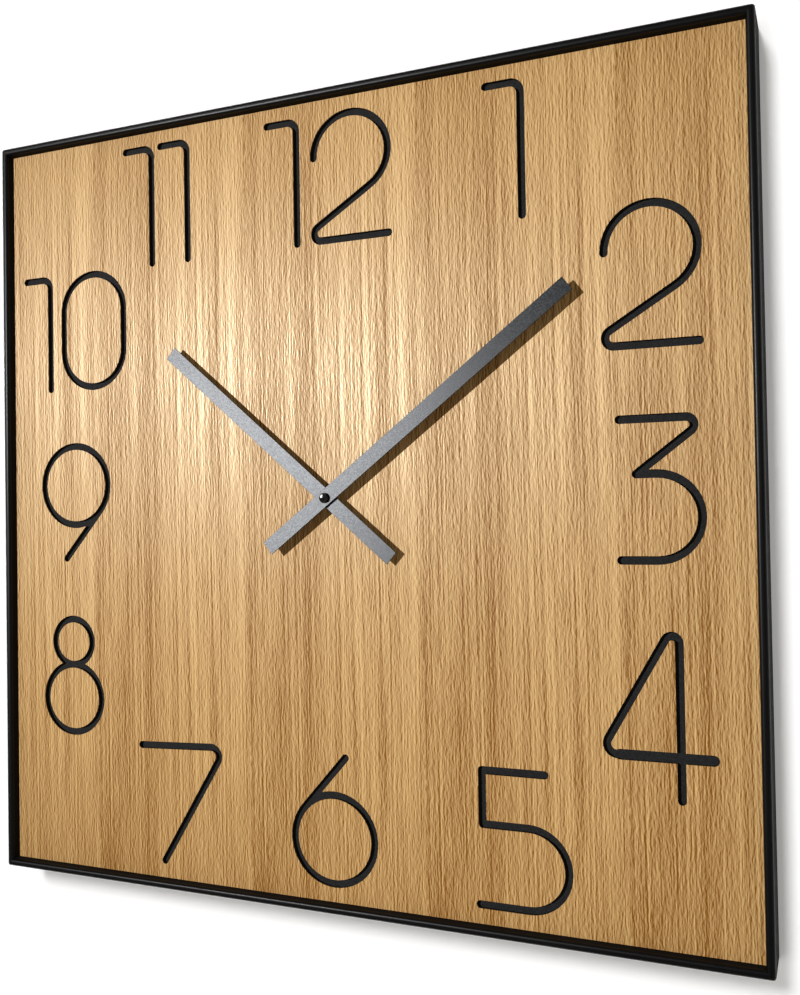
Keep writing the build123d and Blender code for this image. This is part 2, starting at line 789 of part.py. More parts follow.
def board_bracket(seat, spot):
    """Steel angle with one leg on a bar and the other under the board's back."""
    with BuildPart() as angle:
        with BuildSketch(seat.offset(-BRACKET_THICKNESS)):
            Rectangle(BRACKET_LENGTH, BRACKET_LEG)
        extrude(amount=BRACKET_THICKNESS)
        with BuildSketch(seat.offset(-BRACKET_LEG)):
            with Locations((0, (BRACKET_LEG - BRACKET_THICKNESS) / 2)):
                Rectangle(BRACKET_LENGTH, BRACKET_THICKNESS)
        extrude(amount=BRACKET_LEG)
        with BuildSketch(seat.offset(-BRACKET_THICKNESS)):
            Circle(SCREW_RADIUS + SCREW_PLAY)
        extrude(amount=BRACKET_THICKNESS, mode=Mode.SUBTRACT)
        with BuildSketch(spot_plane(spot, board_back - BRACKET_THICKNESS)):
            Circle(SCREW_RADIUS + SCREW_PLAY)
        extrude(amount=BRACKET_THICKNESS, mode=Mode.SUBTRACT)
    return angle.part


# Eight brackets with their screws
bracket_seats = [seat.offset(-BRACKET_THICKNESS) for seat in bracket_planes]
board_screw_seats = [spot_plane(spot, board_back - BRACKET_THICKNESS) for spot in board_screw_spots]
bracket_bite = BRACKET_THICKNESS + SCREW_BITE
brackets = [board_bracket(seat, spot) for seat, spot in zip(bracket_planes, board_screw_spots)]
save_group(brackets, "board_brackets")
save_group([large_screw(seat, bracket_bite) for seat in bracket_seats], "frame_screws")
save_group([large_screw(seat, bracket_bite) for seat in board_screw_seats], "board_screws")


def wall_hanger(side):
    """Steel angle under the top bar; its wall flange has a keyhole for a screw in the wall."""
    middle = bar_plane(0, side * HANGER_SPREAD, hanger_middle)
    with BuildPart() as hanger:
        with BuildSketch(middle.offset(-HANGER_THICKNESS)):
            Rectangle(HANGER_WIDTH, HANGER_LEG)
        extrude(amount=HANGER_THICKNESS)
        with BuildSketch(middle.offset(-HANGER_DROP)):
            with Locations((0, (HANGER_THICKNESS - HANGER_LEG) / 2)):
                Rectangle(HANGER_WIDTH, HANGER_THICKNESS)
        extrude(amount=HANGER_DROP)
        for seat in hanger_planes(side):
            with BuildSketch(seat.offset(-HANGER_THICKNESS)):
                Circle(SCREW_RADIUS + SCREW_PLAY)
            extrude(amount=HANGER_THICKNESS, mode=Mode.SUBTRACT)
        with BuildSketch(spot_plane((side * HANGER_SPREAD, keyhole_z), HANGER_WALL_GAP)):
            Circle(KEYHOLE_RADIUS)
            with Locations((0, KEYHOLE_SLOT_RISE / 2)):
                SlotCenterToCenter(KEYHOLE_SLOT_RISE, KEYHOLE_SLOT_WIDTH, rotation=90)
        extrude(amount=HANGER_THICKNESS, mode=Mode.SUBTRACT)
    return hanger.part


save(wall_hanger(-1), "hanger_left")
save(wall_hanger(1), "hanger_right")

hanger_seats = [seat.offset(-HANGER_THICKNESS) for seat in hanger_planes(-1) + hanger_planes(1)]
save_group([large_screw(seat, HANGER_THICKNESS + SCREW_BITE) for seat in hanger_seats], "hanger_screws")

# Movement case: a moulded tray, open at the back, with a collar through the dial
with BuildPart() as movement_case:
    with BuildSketch(level(case_back)):
        with Locations((0, case_middle)):
            RectangleRounded(2 * case_half, case_top - case_foot, CASE_ROUND)
    extrude(amount=board_back - case_back)
    with BuildSketch(level(board_back - LUG_THICKNESS)):
        for spot in lug_spots:
            with Locations((spot[0] * (1 - CASE_WALL / 2 / lug_x), spot[1])):
                Rectangle(LUG_REACH + CASE_WALL, LUG_WIDTH)
    extrude(amount=LUG_THICKNESS)
    with BuildSketch(level(case_back)):
        with Locations((0, chamber_middle)):
            Rectangle(2 * case_inner, chamber_height)
        with Locations((0, battery_z)):
            Rectangle(2 * case_inner, bay_height)
    extrude(amount=case_floor - case_back, mode=Mode.SUBTRACT)
    with BuildSketch(level(bridge_front)):
        with Locations(*bridge_posts):
            Circle(POST_RADIUS)
    extrude(amount=case_floor - bridge_front)
    with BuildSketch(level(cover_front)):
        with Locations(*cover_bosses):
            Circle(BOSS_RADIUS)
    extrude(amount=case_floor - cover_front)
    with BuildSketch(level(circuit_front)):
        with Locations(*circuit_posts):
            Circle(CIRCUIT_POST_RADIUS)
    extrude(amount=case_floor - circuit_front)
    with BuildSketch(level(stator_front)):
        with Locations(*stator_posts):
            Circle(STATOR_POST_RADIUS)
    extrude(amount=case_floor - stator_front)
    with BuildSketch(spot_plane(motion_spot, layer_back(MOTION_LAYER) - ENDSHAKE)):
        Circle(MOTION_POST_RADIUS)
    extrude(amount=case_floor - layer_back(MOTION_LAYER) + ENDSHAKE)
    with BuildSketch(level(board_back)):
        Circle(collar_radius)
    extrude(amount=collar_front - board_back)
    with BuildSketch(level(case_floor)):
        Circle(HOUR_TUBE_RADIUS + RUNNING_FIT)
    extrude(amount=collar_front - case_floor, mode=Mode.SUBTRACT)
    with BuildSketch(level(case_floor)):
        with Locations(*pivot_spots, setting_spot):
            Circle(PIVOT_RADIUS + RUNNING_FIT)
    extrude(amount=PIVOT_DEPTH + PIVOT_FLOOR, mode=Mode.SUBTRACT)
    with BuildSketch(level(bridge_front)):
        with Locations(*bridge_posts):
            Circle(SMALL_SCREW_RADIUS + SCREW_PLAY)
    extrude(amount=SMALL_SCREW_BITE + SCREW_PLAY, mode=Mode.SUBTRACT)
    with BuildSketch(level(cover_front)):
        with Locations(*cover_bosses):
            Circle(SMALL_SCREW_RADIUS + SCREW_PLAY)
    extrude(amount=SMALL_SCREW_BITE + SCREW_PLAY, mode=Mode.SUBTRACT)
    with BuildSketch(level(board_back - LUG_THICKNESS)):
        with Locations(*lug_spots):
            Circle(SCREW_RADIUS + SCREW_PLAY)
    extrude(amount=LUG_THICKNESS, mode=Mode.SUBTRACT)
    with BuildSketch(level(strip_level - STRIP_WIDTH / 2 - CONTACT_GAP)):
        for side in (-1, 1):
            with Locations((side * (case_inner - CONTACT_THICKNESS), (bay_top + chamber_foot) / 2)):
                Rectangle(2 * CONTACT_THICKNESS, DIVIDER)
    extrude(amount=STRIP_WIDTH + 2 * CONTACT_GAP, mode=Mode.SUBTRACT)
save(movement_case.part, "movement_case")

lug_seats = [spot_plane(spot, board_back - LUG_THICKNESS) for spot in lug_spots]
save_group([large_screw(seat, LUG_THICKNESS + SCREW_BITE) for seat in lug_seats], "movement_screws")

# Rear cover over the wheel chamber; the battery bay stays open
with BuildPart() as movement_cover:
    with BuildSketch(level(case_back)):
        with Locations((0, chamber_middle)):
            Rectangle(2 * (case_inner - COVER_CLEARANCE), chamber_height - 2 * COVER_CLEARANCE)
        with Locations(setting_spot):
            Circle(SETTING_ARBOR_RADIUS + INNER_GAP, mode=Mode.SUBTRACT)
        with Locations(*cover_bosses):
            Circle(SMALL_SCREW_RADIUS + SCREW_PLAY, mode=Mode.SUBTRACT)
    extrude(amount=COVER_THICKNESS)
save(movement_cover.part, "movement_cover")

cover_seats = [spot_plane(spot, case_back) for spot in cover_bosses]
save_group([small_screw(seat, COVER_THICKNESS + SMALL_SCREW_BITE) for seat in cover_seats], "cover_screws")

# Bridge that carries the rear pivots
with BuildPart() as train_bridge:
    with BuildSketch(level(bridge_back)):
        with Locations(((bridge_left + bridge_right) / 2, (bridge_foot + bridge_top) / 2)):
            RectangleRounded(bridge_right - bridge_left, bridge_top - bridge_foot, BRIDGE_MARGIN)
        with Locations(*bridge_posts):
            Circle(SMALL_SCREW_RADIUS + SCREW_PLAY, mode=Mode.SUBTRACT)
        with Locations(*pivot_spots, centre_spot):
            Circle(PIVOT_RADIUS + RUNNING_FIT, mode=Mode.SUBTRACT)
        with Locations(setting_spot):
            Circle(SETTING_ARBOR_RADIUS + RUNNING_FIT, mode=Mode.SUBTRACT)
    extrude(amount=BRIDGE_THICKNESS)
save(train_bridge.part, "train_bridge")

bridge_seats = [spot_plane(spot, bridge_back) for spot in bridge_posts]
bridge_bite = BRIDGE_THICKNESS + SMALL_SCREW_BITE
save_group([small_screw(seat, bridge_bite) for seat in bridge_seats], "bridge_screws")

# Outlines of the gears, each turned so that its teeth mesh with those of its driver
third_phase = mesh_phase(0.0, CENTRE_TEETH, centre_spot, THIRD_PINION, third_spot)
seconds_phase = mesh_phase(0.0, THIRD_TEETH, third_spot, SECONDS_PINION, seconds_spot)
middle_phase = mesh_phase(0.0, SECONDS_TEETH, seconds_spot, MIDDLE_PINION, middle_spot)
rotor_phase = mesh_phase(0.0, MIDDLE_TEETH, middle_spot, ROTOR_PINION, rotor_spot)
motion_phase = mesh_phase(0.0, CANNON_TEETH, centre_spot, MOTION_TEETH, motion_spot)
hour_phase = mesh_phase(0.0, MOTION_PINION, motion_spot, HOUR_TEETH, centre_spot)
setting_phase = mesh_phase(motion_phase, MOTION_TEETH, motion_spot, SETTING_TEETH, setting_spot)
centre_face = wheel_face(CENTRE_TEETH)
cannon_face = pinion_face(CANNON_TEETH)
third_face = wheel_face(THIRD_TEETH)
third_pinion_face = pinion_face(THIRD_PINION, third_phase)
seconds_face = wheel_face(SECONDS_TEETH)
seconds_pinion_face = pinion_face(SECONDS_PINION, seconds_phase)
middle_face = wheel_face(MIDDLE_TEETH)
middle_pinion_face = pinion_face(MIDDLE_PINION, middle_phase)
rotor_pinion_face = pinion_face(ROTOR_PINION, rotor_phase)
motion_face = wheel_face(MOTION_TEETH, motion_phase)
motion_pinion_face = pinion_face(MOTION_PINION)
hour_face = wheel_face(HOUR_TEETH, hour_phase)
setting_face = pinion_face(SETTING_TEETH, setting_phase)

# Minute arbor: rear pivot, clutch seat, cannon pinion, long shaft and threaded stud
with BuildPart() as minute_arbor:
    with BuildSketch(level(pivot_back)):
        Circle(PIVOT_RADIUS)
    extrude(amount=arbor_back - pivot_back)
    with BuildSketch(level(arbor_back)):
        Circle(REAR_ARBOR_RADIUS)
    extrude(amount=layer_back(CENTRE_LAYER) - CLUTCH_SEAT_HEIGHT - arbor_back)
    with BuildSketch(level(layer_back(CENTRE_LAYER) - CLUTCH_SEAT_HEIGHT)):
        Circle(CLUTCH_SEAT_RADIUS)
    extrude(amount=CLUTCH_SEAT_HEIGHT)
    with BuildSketch(level(layer_back(CENTRE_LAYER))):
        Circle(SHAFT_RADIUS)
    extrude(amount=minute_back - layer_back(CENTRE_LAYER))
    with BuildSketch(level(pinion_back(MOTION_LAYER))):
        add(cannon_face)
    extrude(amount=pinion_length)
    with BuildSketch(level(minute_back)):
        Circle(STUD_RADIUS)
    extrude(amount=HAND_THICKNESS + STUD_LENGTH)
save(minute_arbor.part, "minute_arbor")

# Centre wheel, held on the minute arbor by a spring so that the hands can be set
with BuildPart() as centre_wheel:
    with BuildSketch(level(layer_back(CENTRE_LAYER))):
        add(centre_face)
        Circle(SHAFT_RADIUS + HAND_FIT, mode=Mode.SUBTRACT)
    extrude(amount=WHEEL_THICKNESS)
save(centre_wheel.part, "centre_wheel")

with BuildPart() as clutch_spring:
    with BuildSketch(level(layer_back(CENTRE_LAYER) + WHEEL_THICKNESS)):
        Circle(CLUTCH_SPRING_RADIUS)
        Circle(SHAFT_RADIUS + HAND_FIT, mode=Mode.SUBTRACT)
    extrude(amount=pinion_back(MOTION_LAYER) - layer_back(CENTRE_LAYER) - WHEEL_THICKNESS)
save(clutch_spring.part, "clutch_spring")

# Train from the motor to the centre wheel
third_wheel = train_wheel(third_spot, third_face, THIRD_LAYER, third_pinion_face, CENTRE_LAYER)
seconds_wheel = train_wheel(seconds_spot, seconds_face, SECONDS_LAYER, seconds_pinion_face, THIRD_LAYER)
middle_wheel = train_wheel(middle_spot, middle_face, MIDDLE_LAYER, middle_pinion_face, SECONDS_LAYER)
save(third_wheel, "third_wheel")
save(seconds_wheel, "seconds_wheel")
save(middle_wheel, "intermediate_wheel")

# Rotor: arbor, pinion and the hub that carries the ring magnet
with BuildPart() as rotor:
    with BuildSketch(spot_plane(rotor_spot, pivot_back)):
        Circle(PIVOT_RADIUS)
    extrude(amount=pivot_length)
    with BuildSketch(spot_plane(rotor_spot, arbor_back)):
        Circle(ARBOR_RADIUS)
    extrude(amount=arbor_length)
    with BuildSketch(spot_plane(rotor_spot, pinion_back(MIDDLE_LAYER))):
        add(rotor_pinion_face)
    extrude(amount=pinion_length)
    with BuildSketch(spot_plane(rotor_spot, magnet_back)):
        Circle(MAGNET_HUB_RADIUS)
    extrude(amount=MAGNET_HEIGHT)
save(rotor.part, "rotor")

with BuildPart() as rotor_magnet:
    with BuildSketch(spot_plane(rotor_spot, magnet_back)):
        Circle(MAGNET_RADIUS)
        Circle(MAGNET_HUB_RADIUS + HAND_FIT, mode=Mode.SUBTRACT)
    extrude(amount=MAGNET_HEIGHT)
save(rotor_magnet.part, "rotor_magnet")

# Motion work: the wheel on its post, and the hour wheel with its tube
with BuildPart() as motion_wheel:
    with BuildSketch(spot_plane(motion_spot, layer_back(MOTION_LAYER))):
        add(motion_face)
    extrude(amount=WHEEL_THICKNESS)
    with BuildSketch(spot_plane(motion_spot, layer_back(MOTION_LAYER))):
        add(motion_pinion_face)
    extrude(amount=pinion_back(HOUR_LAYER) + pinion_length - layer_back(MOTION_LAYER))
    with BuildSketch(spot_plane(motion_spot, layer_back(MOTION_LAYER))):
        Circle(MOTION_POST_RADIUS + RUNNING_FIT)
    extrude(amount=case_floor - layer_back(MOTION_LAYER), mode=Mode.SUBTRACT)
save(motion_wheel.part, "motion_wheel")

with BuildPart() as hour_wheel:
    with BuildSketch(level(layer_back(HOUR_LAYER))):
        add(hour_face)
    extrude(amount=WHEEL_THICKNESS)
    with BuildSketch(level(layer_back(HOUR_LAYER))):
        Circle(HOUR_HUB_RADIUS)
    extrude(amount=LAYER_START - ENDSHAKE)
    with BuildSketch(level(layer_back(HOUR_LAYER))):
        Circle(HOUR_TUBE_RADIUS)
    extrude(amount=hour_front - layer_back(HOUR_LAYER))
    with BuildSketch(level(layer_back(HOUR_LAYER))):
        Circle(SHAFT_RADIUS + RUNNING_FIT)
    extrude(amount=hour_front - layer_back(HOUR_LAYER), mode=Mode.SUBTRACT)
save(hour_wheel.part, "hour_wheel")

# Setting arbor, with the knob on its rear end
with BuildPart() as setting_arbor:
    with BuildSketch(spot_plane(setting_spot, pinion_back(MOTION_LAYER))):
        Circle(PIVOT_RADIUS)
    extrude(amount=case_floor + PIVOT_DEPTH - pinion_back(MOTION_LAYER))
    with BuildSketch(spot_plane(setting_spot, pinion_back(MOTION_LAYER))):
        add(setting_face)
    extrude(amount=pinion_length)
    with BuildSketch(spot_plane(setting_spot, knob_front - KNOB_THICKNESS)):
        Circle(SETTING_ARBOR_RADIUS)
    extrude(amount=pinion_back(MOTION_LAYER) - knob_front + KNOB_THICKNESS)
save(setting_arbor.part, "setting_arbor")

with BuildPart() as setting_knob:
    with BuildSketch(spot_plane(setting_spot, knob_front - KNOB_THICKNESS)):
        Circle(KNOB_RADIUS)
        with PolarLocations(KNOB_RADIUS, KNOB_FLUTES):
            Circle(KNOB_FLUTE_RADIUS, mode=Mode.SUBTRACT)
        Circle(SETTING_ARBOR_RADIUS + HAND_FIT, mode=Mode.SUBTRACT)
    extrude(amount=KNOB_THICKNESS)
save(setting_knob.part, "setting_knob")

# Motor: stator plate round the rotor, with the coil across the ends of its legs
with BuildPart() as stator:
    with BuildSketch(spot_plane(rotor_spot, stator_back)):
        Rectangle(2 * STATOR_HEAD, 2 * STATOR_HALF_HEIGHT)
        for side in (-1, 1):
            with Locations((-(COIL_REACH + CORE_WIDTH / 2) / 2, side * leg_z)):
                Rectangle(COIL_REACH + CORE_WIDTH / 2, STATOR_LEG)
        Circle(MAGNET_RADIUS + AIR_GAP, mode=Mode.SUBTRACT)
    extrude(amount=STATOR_THICKNESS)
save(stator.part, "stator")

with BuildPart() as coil_core:
    with BuildSketch(spot_plane((coil_x, rotor_spot[1]), stator_back - CORE_THICKNESS)):
        Rectangle(CORE_WIDTH, 2 * STATOR_HALF_HEIGHT)
    extrude(amount=CORE_THICKNESS)
save(coil_core.part, "coil_core")

coil_plane = Plane(origin=(coil_x, -coil_level, rotor_spot[1]), x_dir=(1, 0, 0), z_dir=(0, 0, 1))
with BuildPart() as coil_bobbin:
    with BuildSketch(coil_plane.offset(-bobbin_half)):
        Circle(BARREL_RADIUS)
    extrude(amount=2 * bobbin_half)
    for foot in (-bobbin_half, bobbin_half - BOBBIN_FLANGE):
        with BuildSketch(coil_plane.offset(foot)):
            Circle(BOBBIN_RADIUS)
        extrude(amount=BOBBIN_FLANGE)
    with BuildSketch(coil_plane.offset(-bobbin_half)):
        Rectangle(CORE_WIDTH, CORE_THICKNESS)
    extrude(amount=2 * bobbin_half, mode=Mode.SUBTRACT)
save(coil_bobbin.part, "coil_bobbin")

with BuildPart() as coil_winding:
    with BuildSketch(coil_plane.offset(BOBBIN_FLANGE - bobbin_half)):
        Circle(WINDING_RADIUS)
        Circle(BARREL_RADIUS, mode=Mode.SUBTRACT)
    extrude(amount=2 * (bobbin_half - BOBBIN_FLANGE))
save(coil_winding.part, "coil_winding")

# Circuit board with the crystal's can and the chip's blob on its back
with BuildPart() as circuit_board:
    with BuildSketch(spot_plane((circuit_x, circuit_z), circuit_back)):
        Rectangle(CIRCUIT_WIDTH, CIRCUIT_HEIGHT)
    extrude(amount=CIRCUIT_THICKNESS)
save(circuit_board.part, "circuit_board")

with BuildPart() as quartz_crystal:
    with BuildSketch(Plane.YZ.offset(circuit_x - CRYSTAL_LENGTH / 2)):
        with Locations((CRYSTAL_RADIUS - circuit_back, circuit_z + CIRCUIT_HEIGHT / 4)):
            Circle(CRYSTAL_RADIUS)
    extrude(amount=CRYSTAL_LENGTH)
save(quartz_crystal.part, "quartz_crystal")

with BuildPart() as timing_chip:
    with BuildSketch(spot_plane((circuit_x, circuit_z - CIRCUIT_HEIGHT / 4), circuit_back - CHIP_HEIGHT)):
        Circle(CHIP_RADIUS)
    extrude(amount=CHIP_HEIGHT)
    fillet(timing_chip.edges().filter_by(GeomType.CIRCLE).sort_by(Axis.Y)[-1], CHIP_HEIGHT / 2)
save(timing_chip.part, "timing_chip")

# Battery contacts: a flat leaf at the right end of the bay, a sprung one at the left
battery_right = case_inner - CONTACT_THICKNESS - CONTACT_GAP
battery_left = battery_right - BATTERY_LENGTH
spring_height = battery_left - CONTACT_GAP + case_inner - CONTACT_THICKNESS


def contact_leaf(end_plane, top):
    """Leaf on the end wall of the bay, with a narrow tail through the notch in the divider."""
    with BuildPart() as leaf:
        with BuildSketch(end_plane):
            with Locations((-battery_level, battery_z)):
                Rectangle(CONTACT_WIDTH, bay_height)
            with Locations((-strip_level, (bay_top + top) / 2)):
                Rectangle(STRIP_WIDTH, top - bay_top)
        extrude(amount=CONTACT_THICKNESS)
    return leaf.part


right_leaf = contact_leaf(Plane.YZ.offset(case_inner - CONTACT_THICKNESS), chamber_foot + CONTACT_THICKNESS)
left_leaf = contact_leaf(Plane.YZ.offset(-case_inner), circuit_z)
strip_left = circuit_x + CIRCUIT_WIDTH / 2
with BuildPart() as contact_positive:
    add(right_leaf)
    with BuildSketch(Plane.XY.offset(chamber_foot)):
        with Locations(((strip_left + case_inner) / 2, -strip_level)):
            Rectangle(case_inner - strip_left, STRIP_WIDTH)
    extrude(amount=CONTACT_THICKNESS)
save(contact_positive.part, "contact_positive")

with BuildPart() as contact_negative:
    add(left_leaf)
    with BuildSketch(Plane.YZ.offset(CONTACT_THICKNESS - case_inner)):
        with Locations((-battery_level, battery_z)):
            Circle(CONTACT_SPRING_BASE)
    with BuildSketch(Plane.YZ.offset(CONTACT_THICKNESS - case_inner + spring_height)):
        with Locations((-battery_level, battery_z)):
            Circle(CONTACT_SPRING_TIP)
    loft()
save(contact_negative.part, "contact_negative")

# Battery, its plus end to the right
with BuildPart() as battery:
    with BuildSketch(Plane.YZ.offset(battery_left)):
        with Locations((-battery_level, battery_z)):
            Circle(BATTERY_RADIUS)
    extrude(amount=BATTERY_LENGTH - BATTERY_NUB_LENGTH)
    fillet(battery.edges().filter_by(GeomType.CIRCLE), BATTERY_EDGE)
    with BuildSketch(Plane.YZ.offset(battery_right - BATTERY_NUB_LENGTH)):
        with Locations((-battery_level, battery_z)):
            Circle(BATTERY_NUB_RADIUS)
    extrude(amount=BATTERY_NUB_LENGTH)
save(battery.part, "battery")


def hand(back, angle, tip, tail, hole_radius):
    """Flat strip with square ends, turned clockwise from twelve by an angle."""
    across = (cos(radians(angle)), 0, -sin(radians(angle)))
    with BuildPart() as strip:
        with BuildSketch(Plane(origin=(0, -back, 0), x_dir=across, z_dir=(0, -1, 0))):
            with Locations((0, (tip - tail) / 2)):
                Rectangle(HAND_WIDTH, tip + tail)
            Circle(hole_radius, mode=Mode.SUBTRACT)
        extrude(amount=HAND_THICKNESS)
    return strip.part


def bush(back, height, bore):
    """Collar riveted under a hand."""
    with BuildPart() as collar:
        with BuildSketch(level(back)):
            Circle(bore + BUSH_WALL)
            Circle(bore + HAND_FIT, mode=Mode.SUBTRACT)
        extrude(amount=height)
    return collar.part


save(hand(hour_back, HOUR_ANGLE, HOUR_TIP, HOUR_TAIL, HOUR_TUBE_RADIUS + HAND_FIT), "hour_hand")
save(bush(hour_back - HOUR_BUSH_HEIGHT, HOUR_BUSH_HEIGHT, HOUR_TUBE_RADIUS), "hour_bush")
save(hand(minute_back, MINUTE_ANGLE, MINUTE_TIP, MINUTE_TAIL, STUD_RADIUS + HAND_FIT), "minute_hand")
save(bush(hour_front + BUSH_PLAY, HAND_GAP - BUSH_PLAY, SHAFT_RADIUS), "minute_bush")

# Cap nut: a low rim under a round dome, screwed on the end of the minute arbor
with BuildPart() as cap_nut:
    with BuildSketch(Plane.XY):
        with BuildLine():
            Polyline((0, -minute_front), (CAP_RADIUS, -minute_front), (CAP_RADIUS, -minute_front - CAP_RIM))
            EllipticalCenterArc(
                (0, -minute_front - CAP_RIM), CAP_RADIUS, CAP_HEIGHT - CAP_RIM, start_angle=270, arc_size=90
            )
            Line((0, -minute_front - CAP_HEIGHT), (0, -minute_front))
        make_face()
    revolve(axis=Axis.Y)
    with BuildSketch(level(minute_front)):
        Circle(STUD_RADIUS + SCREW_PLAY)
    extrude(amount=STUD_LENGTH + SCREW_PLAY, mode=Mode.SUBTRACT)
save(cap_nut.part, "cap_nut")
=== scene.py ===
"""Looks of a square wall clock: oak dial with sunk numerals, black box frame, two flat hands.

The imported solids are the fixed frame. Lengths are in millimetres and angles in degrees unless a
comment says otherwise; X is to the viewer's right, Z is up and the dial faces -Y.
"""

import logging
import math
from dataclasses import dataclass
from enum import Enum
from typing import Any

import bpy
import numpy as np
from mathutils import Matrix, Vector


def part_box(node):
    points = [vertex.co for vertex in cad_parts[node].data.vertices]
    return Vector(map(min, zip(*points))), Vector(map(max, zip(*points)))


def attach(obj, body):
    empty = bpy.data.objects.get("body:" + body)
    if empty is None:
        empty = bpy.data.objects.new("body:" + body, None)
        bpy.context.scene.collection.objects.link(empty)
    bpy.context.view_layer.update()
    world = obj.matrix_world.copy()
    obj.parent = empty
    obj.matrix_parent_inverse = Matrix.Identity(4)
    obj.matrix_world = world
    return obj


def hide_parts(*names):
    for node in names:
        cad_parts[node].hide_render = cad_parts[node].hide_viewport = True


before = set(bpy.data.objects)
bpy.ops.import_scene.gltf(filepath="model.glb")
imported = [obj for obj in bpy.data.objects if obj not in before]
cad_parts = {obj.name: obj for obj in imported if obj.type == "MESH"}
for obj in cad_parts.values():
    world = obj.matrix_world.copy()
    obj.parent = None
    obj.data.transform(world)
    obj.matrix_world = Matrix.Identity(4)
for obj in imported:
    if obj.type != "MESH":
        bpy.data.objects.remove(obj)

LOG = logging.getLogger("wall_clock")
MM = 0.001
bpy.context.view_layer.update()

# Most of a noise lies in this span, about this middle.
NOISE_SPAN = {"From Min": 0.3, "From Max": 0.7}
NOISE_MIDDLE = 0.5

# Sockets of a Mix node, by number because its numbers and its colours share their names.
MIX_NUMBER_A, MIX_NUMBER_B, MIXED_NUMBER = 2, 3, 0
MIX_COLOUR_A, MIX_COLOUR_B, MIXED_COLOUR = 6, 7, 2

Material = bpy.types.Material
Node = bpy.types.Node
Piece = bpy.types.Object
Socket = bpy.types.NodeSocket
Tree = bpy.types.NodeTree


class MetalWork(Enum):
    """How a metal surface was made, which decides the pattern it shows."""

    ROLLED = "rolled"
    TURNED = "turned"
    SINTERED = "sintered"


class Reach(Enum):
    """Which pieces a lamp acts on: only the named ones, or all but those."""

    ONLY = "INCLUDE"
    ALL_BUT = "EXCLUDE"


def linear(code: str) -> tuple[float, float, float, float]:
    """Turn an sRGB hex colour into linear light.

    Args:
        code: Six hex digits, such as "B58A55".

    Returns:
        Red, green, blue and an alpha of one.
    """
    shares = [int(code[at : at + 2], 16) / 255 for at in (0, 2, 4)]
    lights = [v / 12.92 if v <= 0.04045 else ((v + 0.055) / 1.055) ** 2.4 for v in shares]
    return (*lights, 1.0)


def add_node(tree: Tree, kind: str, inputs: dict | None = None, **settings: Any) -> Node:
    """Add a node, set its properties, and fill or link its sockets.

    Args:
        tree: Node tree to add to.
        kind: Blender's type name of the node.
        inputs: Socket name or number to a value, or to an output socket to link.
        settings: Properties of the node.

    Returns:
        The new node.
    """
    node = tree.nodes.new(kind)
    for name, value in settings.items():
        setattr(node, name, value)
    for socket, value in (inputs or {}).items():
        if isinstance(value, Socket):
            tree.links.new(value, node.inputs[socket])
        else:
            node.inputs[socket].default_value = value
    return node


def per_mm(across: float, through: float, along: float) -> tuple[float, float, float]:
    """Mapping scale that makes one unit of a pattern these sizes in X, Y and Z."""
    return (1 / (across * MM), 1 / (through * MM), 1 / (along * MM))


@dataclass(frozen=True)
class Finish:
    """A surface finish: its name, main colour and gloss, and how high and strong its relief is."""

    name: str
    colour: str
    roughness: float = 0.5
    ior: float = 1.5
    metallic: float = 0.0
    specular: float = 0.5
    sheen_tint: str = "FFFFFF"
    relief: float = 0.02
    strength: float = 0.2

    def blank(self) -> Material:
        """Start the material with no nodes.

        Returns:
            The material, under the finish's name.
        """
        made = bpy.data.materials.new(self.name)
        made.use_nodes = True
        made.node_tree.nodes.clear()
        return made

    def material(self) -> Material:
        """Make the material.

        Returns:
            The material with its pattern.
        """
        made = self.blank()
        tree = made.node_tree
        shader = add_node(tree, "ShaderNodeBsdfPrincipled")
        shader.inputs["Metallic"].default_value = self.metallic
        shader.inputs["Roughness"].default_value = self.roughness
        shader.inputs["Base Color"].default_value = linear(self.colour)
        if not self.metallic:
            shader.inputs["IOR"].default_value = self.ior
            shader.inputs["Specular IOR Level"].default_value = self.specular
            shader.inputs["Specular Tint"].default_value = linear(self.sheen_tint)
        add_node(tree, "ShaderNodeOutputMaterial", {"Surface": shader.outputs[0]})
        place = add_node(tree, "ShaderNodeTexCoord").outputs["Object"]
        self.pattern(tree, shader, place)
        return made

    def pattern(self, tree: Tree, shader: Node, place: Socket) -> None:
        """Add the finish's own colour, gloss and relief; the plain finish has none."""

    def cover(
        self, tree: Tree, shader: Node, colours: tuple[str, str],
        share: Socket, height: Socket, gloss: Socket | None = None,
    ) -> None:
        """Give the shader two mixed colours, a relief and, where it is uneven, a gloss.

        Args:
            tree: The material's nodes.
            shader: The shader to dress.
            colours: The colours where the share is 0 and where it is 1.
            share: What the colours follow.
            height: What the relief follows.
            gloss: What the roughness follows.
        """
        first, second = (linear(code) for code in colours)
        tint = add_node(
            tree, "ShaderNodeMix",
            {"Factor": share, MIX_COLOUR_A: first, MIX_COLOUR_B: second}, data_type="RGBA",
        )
        bump = add_node(
            tree, "ShaderNodeBump",
            {"Strength": self.strength, "Distance": self.relief * MM, "Height": height},
        )
        tree.links.new(tint.outputs[MIXED_COLOUR], shader.inputs["Base Color"])
        tree.links.new(bump.outputs[0], shader.inputs["Normal"])
        if gloss is not None:
            tree.links.new(gloss, shader.inputs["Roughness"])


@dataclass(frozen=True)
class GrainLayer:
    """One kind of line in the wood: its size, how much it counts in the tone, and its noise.

    A layer with a step is its noise less the same noise that far to the side, which leaves no broad
    patches.
    """

    width: float
    length: float
    weight: float
    detail: float
    rough: float = 0.5
    step: float = 0.0


